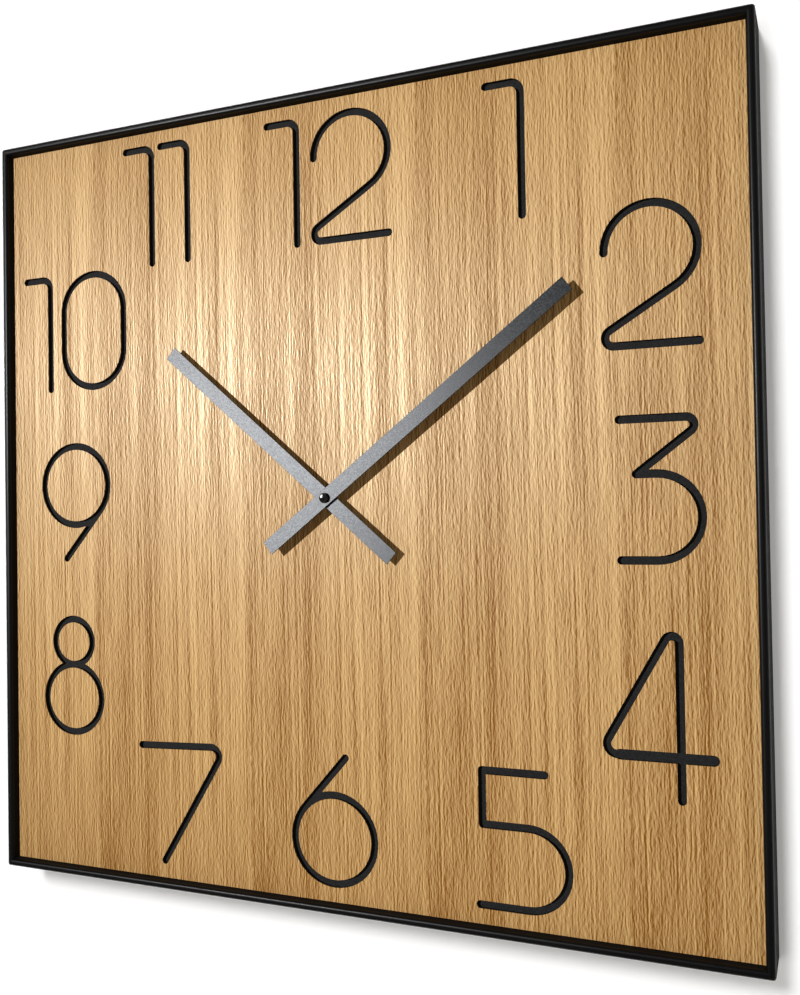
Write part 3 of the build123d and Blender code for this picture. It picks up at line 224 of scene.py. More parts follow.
@dataclass(frozen=True)
class OakVeneer(Finish):
    """Rift-cut oak veneer under a satin lacquer.

    The face is slip-matched: leaves sliced one after the other from the same block lie side by
    side, so the same figure repeats across the dial, darker at one edge of a leaf than at the
    other, and a joint shows as a step in tone that fades towards the foot. The tone is also
    lowered towards the foot as painted shade, for the dimmer light low on the dial. Rift cutting
    shows the growth rings as straight upright lines. The open pores and the rays break those lines
    into short fibres, drawn a little coarser than real ones so that they show. The lacquer adds a
    soft sheen, weaker and duller in the dark pores, which it sinks into; the upright fibres under
    it spread the sheen sideways into a level band.

    A tone runs from 0, brown, to 1, pale. The leaf's middle and the vein's place and reach are
    shares of a leaf's width.
    """

    sideways: float = 0.46
    brown: str = "875208"
    pale: str = "F1C685"
    leaf_width: float = 141.0
    leaf_joint: float = -69.5
    leaf_slip: float = 6.0
    # Painted shade: the tone is lowered from the head down to the foot, for the dimmer light low on
    # the dial.
    shade_ramp_foot: float = 0.405
    shade_ramp_head: float = 0.475
    shade_ramp_from: float = -290.0
    shade_ramp_to: float = -70.0
    rise_foot: float = 0.1
    rise_head: float = 0.29
    rise_span: float = 250.0
    leaf_middle: float = 0.5
    vein_place: float = 0.35
    vein_reach: float = 0.1
    vein_depth: float = 0.04
    waver: float = 1.8
    waver_sizes: tuple[float, float, float] = (70.0, 40.0, 380.0)
    crinkle: float = 0.1
    crinkle_sizes: tuple[float, float, float] = (6.0, 40.0, 30.0)
    bend_span: tuple[float, float] = (0.25, 0.75)
    through: float = 30.0
    band: GrainLayer = GrainLayer(60.0, 2600.0, weight=0.3, detail=2.0)
    season: GrainLayer = GrainLayer(15.0, 520.0, weight=0.4, detail=1.0)
    ring: GrainLayer = GrainLayer(1.7, 260.0, weight=1.35, detail=1.0, rough=0.9)
    streak: GrainLayer = GrainLayer(1.7, 28.0, weight=0.3, detail=0.0)
    fibre: GrainLayer = GrainLayer(1.1, 7.0, weight=1.65, detail=2.0, rough=0.65, step=0.85)
    pore_dulling: float = 0.12
    crest_gloss: float = 0.05
    pore_sheen: float = 0.45
    crest_sheen: float = 1.5
    relief: float = 0.05
    strength: float = 0.22

    def fold(self, tree: Tree, place: Socket) -> tuple[Socket, Socket, Socket]:
        """Fold the dial into leaves.

        The distance from the first joint over a leaf's width has a whole number, which counts the
        leaves, and a fraction, which starts again at each joint. So every leaf shows the same
        figure, moved along the grain by its number of slips.

        Args:
            tree: The material's nodes.
            place: Object coordinates.

        Returns:
            The share of the leaf's width, the height on the dial, and the folded coordinates.
        """
        parts = add_node(tree, "ShaderNodeSeparateXYZ", {"Vector": place})
        height = parts.outputs["Z"]
        count = add_node(
            tree, "ShaderNodeMath",
            {0: parts.outputs["X"], 1: 1 / (self.leaf_width * MM),
             2: -self.leaf_joint / self.leaf_width},
            operation="MULTIPLY_ADD",
        ).outputs[0]
        share = add_node(tree, "ShaderNodeMath", {0: count}, operation="FRACT").outputs[0]
        number = add_node(tree, "ShaderNodeMath", {0: count}, operation="FLOOR").outputs[0]
        across = add_node(
            tree, "ShaderNodeMath", {0: share, 1: self.leaf_width * MM}, operation="MULTIPLY"
        )
        along = add_node(
            tree, "ShaderNodeMath", {0: number, 1: self.leaf_slip * MM, 2: height},
            operation="MULTIPLY_ADD",
        )
        leaf = add_node(
            tree, "ShaderNodeCombineXYZ",
            {"X": across.outputs[0], "Y": parts.outputs["Y"], "Z": along.outputs[0]},
        )
        return share, height, leaf.outputs[0]

    def bend(self, tree: Tree, leaf: Socket) -> Socket:
        """Bend the lines sideways: a slow noise for their waver and a quick one for their crinkle.

        Args:
            tree: The material's nodes.
            leaf: The folded coordinates.

        Returns:
            The bent coordinates.
        """
        low, high = self.bend_span
        bends = []
        for sizes, reach in ((self.waver_sizes, self.waver), (self.crinkle_sizes, self.crinkle)):
            sized = add_node(tree, "ShaderNodeMapping", {"Vector": leaf, "Scale": per_mm(*sizes)})
            noise = add_node(
                tree, "ShaderNodeTexNoise",
                {"Vector": sized.outputs[0], "Scale": 1.0, "Detail": 1.0},
            )
            aside = add_node(
                tree, "ShaderNodeMapRange",
                {"Value": noise.outputs[0], "From Min": low, "From Max": high,
                 "To Min": -reach * MM, "To Max": reach * MM},
            )
            bends.append(aside.outputs[0])
        shift = add_node(tree, "ShaderNodeMath", dict(enumerate(bends)), operation="ADD")
        offset = add_node(tree, "ShaderNodeCombineXYZ", {"X": shift.outputs[0]})
        return add_node(
            tree, "ShaderNodeVectorMath", {0: leaf, 1: offset.outputs[0]}, operation="ADD"
        ).outputs[0]

    def ground(self, tree: Tree, share: Socket, height: Socket) -> Socket:
        """Work out the tone under the lines.

        It grows from the foot to the head, as painted shade for the dimmer light low on the dial,
        dips in a dark vein, and rises across each leaf, by more at the head than at the foot.

        Args:
            tree: The material's nodes.
            share: The share of the leaf's width.
            height: The height on the dial.

        Returns:
            The tone.
        """
        off = add_node(
            tree, "ShaderNodeMath", {0: share, 1: self.vein_place}, operation="SUBTRACT"
        )
        gap = add_node(tree, "ShaderNodeMath", {0: off.outputs[0]}, operation="ABSOLUTE")
        vein = add_node(
            tree, "ShaderNodeMapRange",
            {"Value": gap.outputs[0], "From Max": self.vein_reach,
             "To Min": -self.vein_depth, "To Max": 0.0},
        )
        # Painted shade: the tone falls towards the foot of the dial, where the light is dimmer.
        painted_shade_ramp = add_node(
            tree, "ShaderNodeMapRange",
            {"Value": height, "From Min": self.shade_ramp_from * MM, "From Max": self.shade_ramp_to * MM,
             "To Min": self.shade_ramp_foot, "To Max": self.shade_ramp_head},
        )
        base = add_node(
            tree, "ShaderNodeMath", {0: painted_shade_ramp.outputs[0], 1: vein.outputs[0]}, operation="ADD"
        )
        rise = add_node(
            tree, "ShaderNodeMath", {0: share, 1: self.leaf_middle}, operation="SUBTRACT"
        )
        slope = add_node(
            tree, "ShaderNodeMapRange",
            {"Value": height, "From Min": -self.rise_span * MM, "From Max": self.rise_span * MM,
             "To Min": self.rise_foot, "To Max": self.rise_head},
        )
        return add_node(
            tree, "ShaderNodeMath",
            {0: rise.outputs[0], 1: slope.outputs[0], 2: base.outputs[0]}, operation="MULTIPLY_ADD",
        ).outputs[0]

    def lines(self, tree: Tree, grain: Socket, tone: Socket) -> Socket:
        """Add the bands, seasons, rings, streaks and fibres to the tone, each times its weight.

        Args:
            tree: The material's nodes.
            grain: The bent coordinates.
            tone: The tone under the lines.

        Returns:
            The tone of the wood.
        """
        for layer in (self.band, self.season, self.ring, self.streak, self.fibre):
            scale = per_mm(layer.width, self.through, layer.length)
            noises = []
            for aside in (0.0, layer.step) if layer.step else (0.0,):
                sized = add_node(
                    tree, "ShaderNodeMapping",
                    {"Vector": grain, "Location": (aside / layer.width, 0.0, 0.0), "Scale": scale},
                )
                noise = add_node(
                    tree, "ShaderNodeTexNoise",
                    {"Vector": sized.outputs[0], "Scale": 1.0,
                     "Detail": layer.detail, "Roughness": layer.rough},
                )
                noises.append(noise.outputs[0])
            less = noises[1] if layer.step else NOISE_MIDDLE
            level = add_node(tree, "ShaderNodeMath", {0: noises[0], 1: less}, operation="SUBTRACT")
            tone = add_node(
                tree, "ShaderNodeMath",
                {0: level.outputs[0], 1: layer.weight, 2: tone}, operation="MULTIPLY_ADD",
            ).outputs[0]
        return tone

    def pattern(self, tree: Tree, shader: Node, place: Socket) -> None:
        """Turn the tone into the wood's colour, the lacquer's gloss and sheen, and the relief.

        Args:
            tree: The material's nodes.
            shader: The shader to dress.
            place: Object coordinates.
        """
        share, height, leaf = self.fold(tree, place)
        grain = self.bend(tree, leaf)
        tone = self.lines(tree, grain, self.ground(tree, share, height))
        gloss = add_node(
            tree, "ShaderNodeMapRange",
            {"Value": tone, "To Min": self.roughness + self.pore_dulling,
             "To Max": self.roughness - self.crest_gloss},
        )
        sheen = add_node(
            tree, "ShaderNodeMapRange",
            {"Value": tone, "To Min": self.specular * self.pore_sheen,
             "To Max": self.specular * self.crest_sheen},
        )
        level = add_node(tree, "ShaderNodeTangent", direction_type="RADIAL", axis="Z")
        shader.inputs["Anisotropic"].default_value = self.sideways
        tree.links.new(sheen.outputs[0], shader.inputs["Specular IOR Level"])
        tree.links.new(level.outputs[0], shader.inputs["Tangent"])
        self.cover(tree, shader, (self.brown, self.pale), tone, tone, gloss.outputs[0])


@dataclass(frozen=True)
class GrainedCoat(Finish):
    """A coat or moulding with a fine even grain, such as powder coat or spark-eroded plastic.

    The grain breaks the highlight into a soft band with tiny bright points, and the colour drifts
    a little from place to place. The grain is drawn coarser than the real one so that it shows.
    """

    drift: str = "141416"
    grain: float = 0.7
    drift_size: float = 40.0
    gloss_spread: float = 0.06
    relief: float = 0.06
    strength: float = 0.5

    def pattern(self, tree: Tree, shader: Node, place: Socket) -> None:
        """Fine round noise as relief and gloss, and slow noise as colour drift.

        Args:
            tree: The material's nodes.
            shader: The shader to dress.
            place: Object coordinates.
        """
        noises = []
        for size, detail in ((self.grain, 2.0), (self.drift_size, 3.0)):
            sized = add_node(
                tree, "ShaderNodeMapping", {"Vector": place, "Scale": per_mm(size, size, size)}
            )
            noise = add_node(
                tree, "ShaderNodeTexNoise",
                {"Vector": sized.outputs[0], "Scale": 1.0, "Detail": detail},
            )
            noises.append(noise.outputs[0])
        fine, slow = noises
        share = add_node(tree, "ShaderNodeMapRange", {"Value": slow, **NOISE_SPAN})
        gloss = add_node(
            tree, "ShaderNodeMapRange",
            {"Value": fine, **NOISE_SPAN, "To Min": self.roughness - self.gloss_spread,
             "To Max": self.roughness + self.gloss_spread},
        )
        colours = (self.colour, self.drift)
        self.cover(tree, shader, colours, share.outputs[0], fine, gloss.outputs[0])


@dataclass(frozen=True)
class RubbedCoat(GrainedCoat):
    """Matt powder coat whose front lip is rubbed smoother by dusting.

    The rubbed lip carries a soft highlight, while the sides and the inner walls stay dull and
    black.
    """

    matt: float = 0.92
    rubbed_from: float = 33.0
    rubbed_to: float = 34.4

    def pattern(self, tree: Tree, shader: Node, place: Socket) -> None:
        """Add the even grain, then let the gloss rise from the matt sides to the rubbed lip.

        Args:
            tree: The material's nodes.
            shader: The shader to dress.
            place: Object coordinates.
        """
        super().pattern(tree, shader, place)
        gloss = shader.inputs["Roughness"].links[0].from_socket
        parts = add_node(tree, "ShaderNodeSeparateXYZ", {"Vector": place})
        rubbed = add_node(
            tree, "ShaderNodeMapRange",
            {"Value": parts.outputs["Y"], "From Min": -self.rubbed_from * MM,
             "From Max": -self.rubbed_to * MM},
        )
        both = add_node(
            tree, "ShaderNodeMix",
            {"Factor": rubbed.outputs[0], MIX_NUMBER_A: self.matt, MIX_NUMBER_B: gloss},
        )
        tree.links.new(both.outputs[MIXED_NUMBER], shader.inputs["Roughness"])


@dataclass(frozen=True)
class DyedBoard(Finish):
    """Black fibreboard, dyed all through and routed.

    Routing leaves a dull dark face with pale fibre specks, so lit floors of the grooves read as
    charcoal and their walls as black. The specks are drawn coarser than real ones so that they
    show.
    """

    fibre: str = "2A2B2D"
    fibre_size: float = 0.9
    fibre_span: tuple[float, float] = (0.42, 0.8)
    relief: float = 0.06
    strength: float = 0.4

    def pattern(self, tree: Tree, shader: Node, place: Socket) -> None:
        """Noise as specks of fibre in colour, and the same specks as relief.

        Args:
            tree: The material's nodes.
            shader: The shader to dress.
            place: Object coordinates.
        """
        low, high = self.fibre_span
        scale = per_mm(self.fibre_size, self.fibre_size, self.fibre_size)
        sized = add_node(tree, "ShaderNodeMapping", {"Vector": place, "Scale": scale})
        noise = add_node(
            tree, "ShaderNodeTexNoise", {"Vector": sized.outputs[0], "Scale": 1.0, "Detail": 3.0}
        )
        share = add_node(
            tree, "ShaderNodeMapRange",
            {"Value": noise.outputs[0], "From Min": low, "From Max": high},
        )
        colours = (self.colour, self.fibre)
        self.cover(tree, shader, colours, share.outputs[0], noise.outputs[0])


@dataclass(frozen=True)
class SatinLacquer(Finish):
    """Dark grey satin lacquer with fine metal flake, on flat strip.

    Seen away from the light it is slate; towards the light the satin surface turns it pale grey.
    The flake gives a fine sparkle, drawn coarser than the real one so that it shows.
    """

    flake: str = "3C4044"
    flake_size: float = 0.9
    flake_span: tuple[float, float] = (0.45, 0.85)
    gloss_spread: float = 0.05
    strength: float = 0.25

    def pattern(self, tree: Tree, shader: Node, place: Socket) -> None:
        """Small patches of lighter flake over the lacquer, with a trace of orange peel.

        Args:
            tree: The material's nodes.
            shader: The shader to dress.
            place: Object coordinates.
        """
        low, high = self.flake_span
        scale = per_mm(self.flake_size, self.flake_size, self.flake_size)
        sized = add_node(tree, "ShaderNodeMapping", {"Vector": place, "Scale": scale})
        noise = add_node(
            tree, "ShaderNodeTexNoise", {"Vector": sized.outputs[0], "Scale": 1.0, "Detail": 2.0}
        )
        share = add_node(
            tree, "ShaderNodeMapRange",
            {"Value": noise.outputs[0], "From Min": low, "From Max": high},
        )
        colours = (self.colour, self.flake)
        gloss = add_node(
            tree, "ShaderNodeMapRange",
            {"Value": noise.outputs[0], **NOISE_SPAN,
             "To Min": self.roughness - self.gloss_spread,
             "To Max": self.roughness + self.gloss_spread},
        )
        self.cover(tree, shader, colours, share.outputs[0], noise.outputs[0], gloss.outputs[0])


@dataclass(frozen=True)
class WorkedMetal(Finish):
    """Bare or plated metal with the marks of how it was worked.

    Rolled sheet shows faint streaks along the sheet, turned metal fine rings, and sintered or
    plated metal a small even mottle. The marks are drawn coarser than real ones so that they show.
    """

    metallic: float = 1.0
    work: MetalWork = MetalWork.ROLLED
    dull: str = "8C8F92"
    mark_size: float = 0.6
    rolled_length: float = 30.0
    turned_length: float = 8.0
    turned_width: float = 0.5
    bright_gloss: float = 0.06
    dull_loss: float = 0.1

    def pattern(self, tree: Tree, shader: Node, place: Socket) -> None:
        """Noise stretched, ringed or plain by the way of working, as colour, gloss and relief.

        The lengths and widths of the marks are in mark sizes.

        Args:
            tree: The material's nodes.
            shader: The shader to dress.
            place: Object coordinates.
        """
        mark, ring = self.mark_size, self.mark_size * self.turned_length
        scales = {
            MetalWork.ROLLED: per_mm(mark * self.rolled_length, mark, mark),
            MetalWork.TURNED: per_mm(ring, mark * self.turned_width, ring),
            MetalWork.SINTERED: per_mm(mark, mark, mark),
        }
        sized = add_node(
            tree, "ShaderNodeMapping", {"Vector": place, "Scale": scales[self.work]}
        )
        noise = add_node(
            tree, "ShaderNodeTexNoise", {"Vector": sized.outputs[0], "Scale": 1.0, "Detail": 3.0}
        )
        share = add_node(tree, "ShaderNodeMapRange", {"Value": noise.outputs[0], **NOISE_SPAN})
        colours = (self.colour, self.dull)
        gloss = add_node(
            tree, "ShaderNodeMapRange",
            {"Value": share.outputs[0], "To Min": self.roughness - self.bright_gloss,
             "To Max": self.roughness + self.dull_loss},
        )
        self.cover(tree, shader, colours, share.outputs[0], noise.outputs[0], gloss.outputs[0])


@dataclass(frozen=True)
class WallPaint(Finish):
    """Matt white wall behind the clock, seen white by the camera while it keeps the soft shadow.

    Seen from behind it lets the view through, so that the clock's back shows.
    """

    glow: float = 0.2

    def material(self) -> Material:
        """Make the wall: a diffuse white with some of its white given straight to the eye.

        Returns:
            The wall's material.
        """
        made = self.blank()
        tree = made.node_tree
        paint = add_node(tree, "ShaderNodeBsdfDiffuse", {"Color": linear(self.colour)})
        path = add_node(tree, "ShaderNodeLightPath")
        seen = path.outputs["Is Camera Ray"]
        for ray in ("Is Glossy Ray", "Is Transmission Ray"):
            seen = add_node(
                tree, "ShaderNodeMath", {0: seen, 1: path.outputs[ray]}, operation="MAXIMUM"
            ).outputs[0]
        strength = add_node(tree, "ShaderNodeMath", {0: seen, 1: self.glow}, operation="MULTIPLY")
        glow = add_node(
            tree, "ShaderNodeEmission",
            {"Color": linear("FFFFFF"), "Strength": strength.outputs[0]},
        )
        white = add_node(tree, "ShaderNodeAddShader", {0: paint.outputs[0], 1: glow.outputs[0]})
        clear = add_node(tree, "ShaderNodeBsdfTransparent")
        side = add_node(tree, "ShaderNodeNewGeometry")
        both = add_node(
            tree, "ShaderNodeMixShader",
            {0: side.outputs["Backfacing"], 1: white.outputs[0], 2: clear.outputs[0]},
        )
        add_node(tree, "ShaderNodeOutputMaterial", {"Surface": both.outputs[0]})
        return made


def grid_object(name: str, grid: np.ndarray, wrap_rows: bool, wrap_columns: bool) -> Piece:
    """Make a mesh object from a grid of points, one quad between each four neighbours.

    Args:
        name: Name of the object and its mesh.
        grid: Points in millimetres, shape (rows, columns, 3).
        wrap_rows: Whether the last row joins the first.
        wrap_columns: Whether the last column joins the first.

    Returns:
        The object, at the origin, in metres.
    """
    rows, columns = grid.shape[:2]
    row = np.arange(rows if wrap_rows else rows - 1)
    column = np.arange(columns if wrap_columns else columns - 1)
    low, left = (part.ravel() for part in np.meshgrid(row, column, indexing="ij"))
    high, right = (low + 1) % rows, (left + 1) % columns
    corners = ((low, left), (low, right), (high, right), (high, left))
    quads = np.stack([line * columns + place for line, place in corners], axis=1)
    mesh = bpy.data.meshes.new(name)
    mesh.from_pydata((grid.reshape(-1, 3) * MM).tolist(), [], quads.tolist())
    mesh.shade_smooth()
    mesh.update()
    made = bpy.data.objects.new(name, mesh)
    bpy.context.scene.collection.objects.link(made)
    return made


def dress(nodes: list[str], material: Material) -> None:
    """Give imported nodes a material.

    Args:
        nodes: Names of the nodes.
        material: Material that takes the place of theirs.
    """
    for name in nodes:
        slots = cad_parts[name].data.materials
        slots.clear()
        slots.append(material)
        LOG.info("dressed %s in %s", name, material.name)


@dataclass
class BoxFrame:
    """The black square frame round the dial."""

    # Powder coat on steel bar: a dull deep black with a soft line of light along the lip.
    coat: RubbedCoat = RubbedCoat(
        "powder_coated_steel", "040405", roughness=0.36, specular=0.2,
        drift="070708", grain=0.8, strength=0.25,
    )

    def build(self) -> None:
        """Dress the frame."""
        dress(["frame"], self.coat.material())


@dataclass
class OakDial:
    """The oak face and the black board behind it."""

    # Lacquered oak: straw-coloured lines on brown under a soft warm shine.
    oak: OakVeneer = OakVeneer(
        "lacquered_oak_veneer", "C09563", roughness=0.4, specular=0.56, sheen_tint="FFF4DE"
    )
    # Routed fibreboard, dyed through: dull charcoal floors in the sunk numerals.
    board: DyedBoard = DyedBoard("dyed_fibreboard", "121213", roughness=0.8, specular=0.3)

    def build(self) -> None:
        """Dress the veneer and the board."""
        dress(["oak_veneer"], self.oak.material())
        dress(["dial_board"], self.board.material())


@dataclass(frozen=True)
class Hand:
    """One flat hand: a strip with square ends, broken arrises and a hole for its shaft.

    The angle is clockwise from twelve, the tip and the tail are distances from the shaft, and the
    rim, where a face becomes flat, is in arris widths from the edge.
    """

    node: str
    body: str
    angle: float
    tip: float
    tail: float
    hole: float
    width: float = 11.0
    corner: float = 0.25
    arris: float = 0.14
    rim: float = 1.3
    corner_steps: int = 5
    side_steps: int = 24
    arris_steps: int = 4
    sharp_from: float = 50.0

    def outline(self) -> tuple[np.ndarray, np.ndarray]:
        """Work out the strip's outline in its own plane, with its outward directions.

        The outline is a rectangle whose corners are quarter circles: each corner is its centre plus
        the corner radius times a turning unit vector, and the sides are straight points between.

        Returns:
            Points (n, 2), with the long way as the second number, and unit directions (n, 2).
        """
        half = self.width / 2 - self.corner
        top, bottom = self.tip - self.corner, self.corner - self.tail
        centres = np.array([[half, top], [-half, top], [-half, bottom], [half, bottom]])
        turn = np.linspace(0, np.pi / 2, self.corner_steps)
        points, outward = [], []
        for number, centre in enumerate(centres):
            angle = turn + number * np.pi / 2
            unit = np.stack([np.cos(angle), np.sin(angle)], axis=1)
            points.append(centre + self.corner * unit)
            outward.append(unit)
            start = points[-1][-1]
            end = centres[(number + 1) % len(centres)] + self.corner * unit[-1]
            share = np.linspace(0, 1, self.side_steps + 2)[1:-1, None]
            points.append(start + (end - start) * share)
            outward.append(np.repeat(unit[-1:], self.side_steps, axis=0))
        return np.concatenate(points), np.concatenate(outward)

    def build(self, material: Material) -> Piece:
        """Build the strip as one closed grid: hole, back face, edge, front face, back to the hole.

        A row of the grid is a ring round the strip. Each ring is the outline moved inwards by some
        amount at some height, and the arris rings follow a quarter circle; the two hole rings are
        circles with one point for each point of the outline, in its direction from the shaft.

        Args:
            material: The lacquer.

        Returns:
            The hand.
        """
        front, back = (-corner[1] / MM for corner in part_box(self.node))
        thick = front - back
        points, outward = self.outline()
        bearing = np.arctan2(points[:, 1], points[:, 0])
        circle = self.hole * np.stack([np.cos(bearing), np.sin(bearing)], axis=1)
        rim = points - outward * self.arris * self.rim
        turn = np.linspace(0, np.pi / 2, self.arris_steps)
        insets = self.arris * (1 - np.sin(turn))
        rises = self.arris * (1 - np.cos(turn))
        edge = [(points - outward * inset, rise) for inset, rise in zip(insets, rises)]
        rings = [(circle, 0.0), (rim, 0.0), *edge]
        rings += [(flat, thick - rise) for flat, rise in edge[::-1]]
        rings += [(rim, thick), (circle, thick)]
        angle = math.radians(self.angle)
        across = np.array([math.cos(angle), 0, -math.sin(angle)])
        along = np.array([math.sin(angle), 0, math.cos(angle)])
        out = np.array([0, -1.0, 0])
        grid = np.stack(
            [flat[:, :1] * across + flat[:, 1:] * along + (back + height) * out
             for flat, height in rings]
        )
        made = grid_object(self.node + "_strip", grid, wrap_rows=True, wrap_columns=True)
        made.data.set_sharp_from_angle(angle=math.radians(self.sharp_from))
        made.data.materials.append(material)
        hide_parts(self.node)
        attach(made, self.body)
        LOG.info("built %s", made.name)
        return made


@dataclass
class Hands:
    """Both hands, their collars and the cap nut."""

    hour: Hand = Hand("hour_hand", "hour_group", angle=-49.1, tip=176.0, tail=67.0, hole=2.52)
    minute: Hand = Hand("minute_hand", "minute_group", angle=52.5, tip=227.0, tail=60.0, hole=1.12)
    # Lacquered aluminium strip: slate, and pale grey where it faces the light.
    lacquer: SatinLacquer = SatinLacquer(
        "satin_lacquered_aluminium", "1F2225", roughness=0.27, specular=0.5, sheen_tint="F7FAFF"
    )
    # Turned brass: warm yellow with fine rings.
    collar: WorkedMetal = WorkedMetal(
        "turned_brass", "C7A052", roughness=0.28, work=MetalWork.TURNED, dull="A98339"
    )
    # Polished black resin: near black with one small bright glint.
    cap: GrainedCoat = GrainedCoat(
        "polished_black_resin", "040405", roughness=0.14, drift="0A0A0B", grain=0.5, relief=0.004
    )

    def build(self) -> None:
        """Build the strips and dress what holds them."""
        lacquer = self.lacquer.material()
        for hand in (self.hour, self.minute):
            hand.build(lacquer)
        dress(["hour_bush", "minute_bush", "minute_arbor"], self.collar.material())
        dress(["cap_nut"], self.cap.material())


@dataclass
class Battery:
    """The cell: a plain sleeve over a plated can, with the plus nub at its right end.

    The sleeve laps over the ends of the can and turns in by a lip; the can's flat ends lie a recess
    behind it and are tucked under it. The pole is the radius at which an end closes.
    """

    radius: float = 7.1
    length: float = 50.5
    nub_radius: float = 2.75
    nub_length: float = 1.3
    nub_edge: float = 0.2
    edge: float = 0.6
    lap: float = 1.6
    lip_depth: float = 0.25
    lip_width: float = 0.1
    recess: float = 0.2
    tuck: float = 0.05
    pole: float = 0.02
    steps: int = 72
    edge_steps: int = 5
    sharp_from: float = 40.0
    # Shrunk plastic film: dark slate with a smooth shine and slow ripples.
    sleeve: GrainedCoat = GrainedCoat(
        "shrink_sleeve", "20252B", roughness=0.3,
        drift="2A3037", grain=2.0, relief=0.01, drift_size=12.0,
    )
    # Nickel plate on steel: pale and bright with a faint mottle.
    can: WorkedMetal = WorkedMetal(
        "nickel_plated_can", "C9C8C2", roughness=0.25, work=MetalWork.SINTERED, dull="A9A8A2"
    )

    def lathe(self, name: str, profile: list[tuple[float, float]]) -> Piece:
        """Turn a profile about the cell's axis: each (along, radius) becomes a circle in Y and Z.

        Args:
            name: Name of the piece.
            profile: Points along the cell, from its left end, in millimetres.

        Returns:
            The turned piece.
        """
        low, high = (np.array(corner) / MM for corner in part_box("battery"))
        axis = (low + high) / 2
        along, radius = np.array(profile).T
        angle = np.linspace(0, 2 * np.pi, self.steps, endpoint=False)
        grid = np.empty((len(profile), self.steps, 3))
        grid[..., 0] = low[0] + along[:, None]
        grid[..., 1] = axis[1] + radius[:, None] * np.cos(angle)
        grid[..., 2] = axis[2] + radius[:, None] * np.sin(angle)
        made = grid_object(name, grid, wrap_rows=False, wrap_columns=True)
        made.data.set_sharp_from_angle(angle=math.radians(self.sharp_from))
        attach(made, "battery_group")
        LOG.info("built %s", name)
        return made

    def build(self) -> None:
        """Build the sleeve and the can that shows at both ends.

        Both are profiles of points along the cell and their radii; the sleeve's rounded ends are
        quarter circles, the right one the left one mirrored.
        """
        shoulder = self.length - self.nub_length
        bead = self.radius - self.edge
        turn = np.linspace(0, np.pi / 2, self.edge_steps)
        low_bead = [
            (self.edge * (1 - math.sin(t)), bead + self.edge * (1 - math.cos(t)))
            for t in turn[::-1]
        ]
        high_bead = [(shoulder - along, radius) for along, radius in low_bead]
        inner = bead - self.lap
        lip, tucked = inner + self.lip_width, inner + self.tuck
        sleeve = [(self.lip_depth, inner), (0.0, lip), *low_bead, *high_bead[::-1]]
        sleeve += [(shoulder, lip), (shoulder - self.lip_depth, inner)]
        can = [
            (self.recess, self.pole),
            (self.recess, tucked),
            (shoulder - self.recess, tucked),
            (shoulder - self.recess, self.nub_radius),
            (self.length - self.nub_edge, self.nub_radius),
            (self.length, self.nub_radius - self.nub_edge),
            (self.length, self.pole),
        ]
        pieces = [self.lathe("battery_sleeve", sleeve), self.lathe("battery_can", can)]
        for piece, finish in zip(pieces, (self.sleeve, self.can)):
            piece.data.materials.append(finish.material())
            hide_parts("battery")


@dataclass
class Movement:
    """The movement behind the dial: its mouldings, metal parts and electronics."""

    # ABS from a spark-eroded mould: black with a fine dull grain.
    moulding: GrainedCoat = GrainedCoat(
        "spark_eroded_abs", "161618", roughness=0.5, drift="1C1C1F", grain=0.5
    )
    # Moulded acetal: milky white and a little waxy.
    white: GrainedCoat = GrainedCoat(
        "moulded_acetal", "E2E0D6", roughness=0.38, drift="D8D5C8", grain=1.2, relief=0.01
    )
    # Glass laminate under a green mask: deep green with slow lighter patches.
    laminate: GrainedCoat = GrainedCoat(
        "glass_laminate", "1E5A38", roughness=0.4, drift="2A6B43", grain=0.6, relief=0.02
    )
    # Poured resin: black and glossy.
    resin: GrainedCoat = GrainedCoat(
        "poured_resin", "0C0C0D", roughness=0.15, drift="121213", grain=1.0, relief=0.01
    )
    # Punched soft iron: mid grey with faint streaks from rolling.
    iron: WorkedMetal = WorkedMetal("punched_soft_iron", "8E8F91", roughness=0.4, dull="6F7072")
    # Sintered magnet: dark grey with an even mottle.
    magnet: WorkedMetal = WorkedMetal(
        "sintered_magnet", "4A4B4E", roughness=0.45, work=MetalWork.SINTERED, dull="38393B"
    )
    # Enamelled copper wire: orange brown with fine close lines.
    wire: WorkedMetal = WorkedMetal(
        "enamelled_copper", "B5642F", roughness=0.3, dull="8F4A1E", mark_size=0.1
    )
    # Nickel-plated strip: pale warm grey with faint streaks.
    strip: WorkedMetal = WorkedMetal("nickel_plated_strip", "C4C2B8", roughness=0.3, dull="A8A69B")

    def build(self) -> None:
        """Dress every piece of the movement."""
        wheels = ["centre_wheel", "third_wheel", "seconds_wheel", "intermediate_wheel", "rotor"]
        wheels += ["motion_wheel", "hour_wheel"]
        sprung = ["contact_positive", "contact_negative", "quartz_crystal", "clutch_spring"]
        dress(["movement_case", "movement_cover", "setting_knob"], self.moulding.material())
        dress(wheels + ["setting_arbor", "train_bridge", "coil_bobbin"], self.white.material())
        dress(["circuit_board"], self.laminate.material())
        dress(["timing_chip"], self.resin.material())
        dress(["stator", "coil_core"], self.iron.material())
        dress(["rotor_magnet"], self.magnet.material())
        dress(["coil_winding"], self.wire.material())
        dress(sprung, self.strip.material())


@dataclass
class WallFittings:
    """The steel brackets, hangers and screws behind the dial."""

    # Zinc plate on steel: cool grey with broad faint streaks.
    zinc: WorkedMetal = WorkedMetal(
        "zinc_plated_steel", "BFC2C6", roughness=0.34, dull="9EA1A6", mark_size=1.2
    )

    def build(self) -> None:
        """Dress the fittings."""
        pieces = ["board_brackets", "frame_screws", "board_screws"]
        pieces += ["hanger_left", "hanger_right", "hanger_screws"]
        pieces += ["movement_screws", "cover_screws", "bridge_screws"]
        dress(pieces, self.zinc.material())


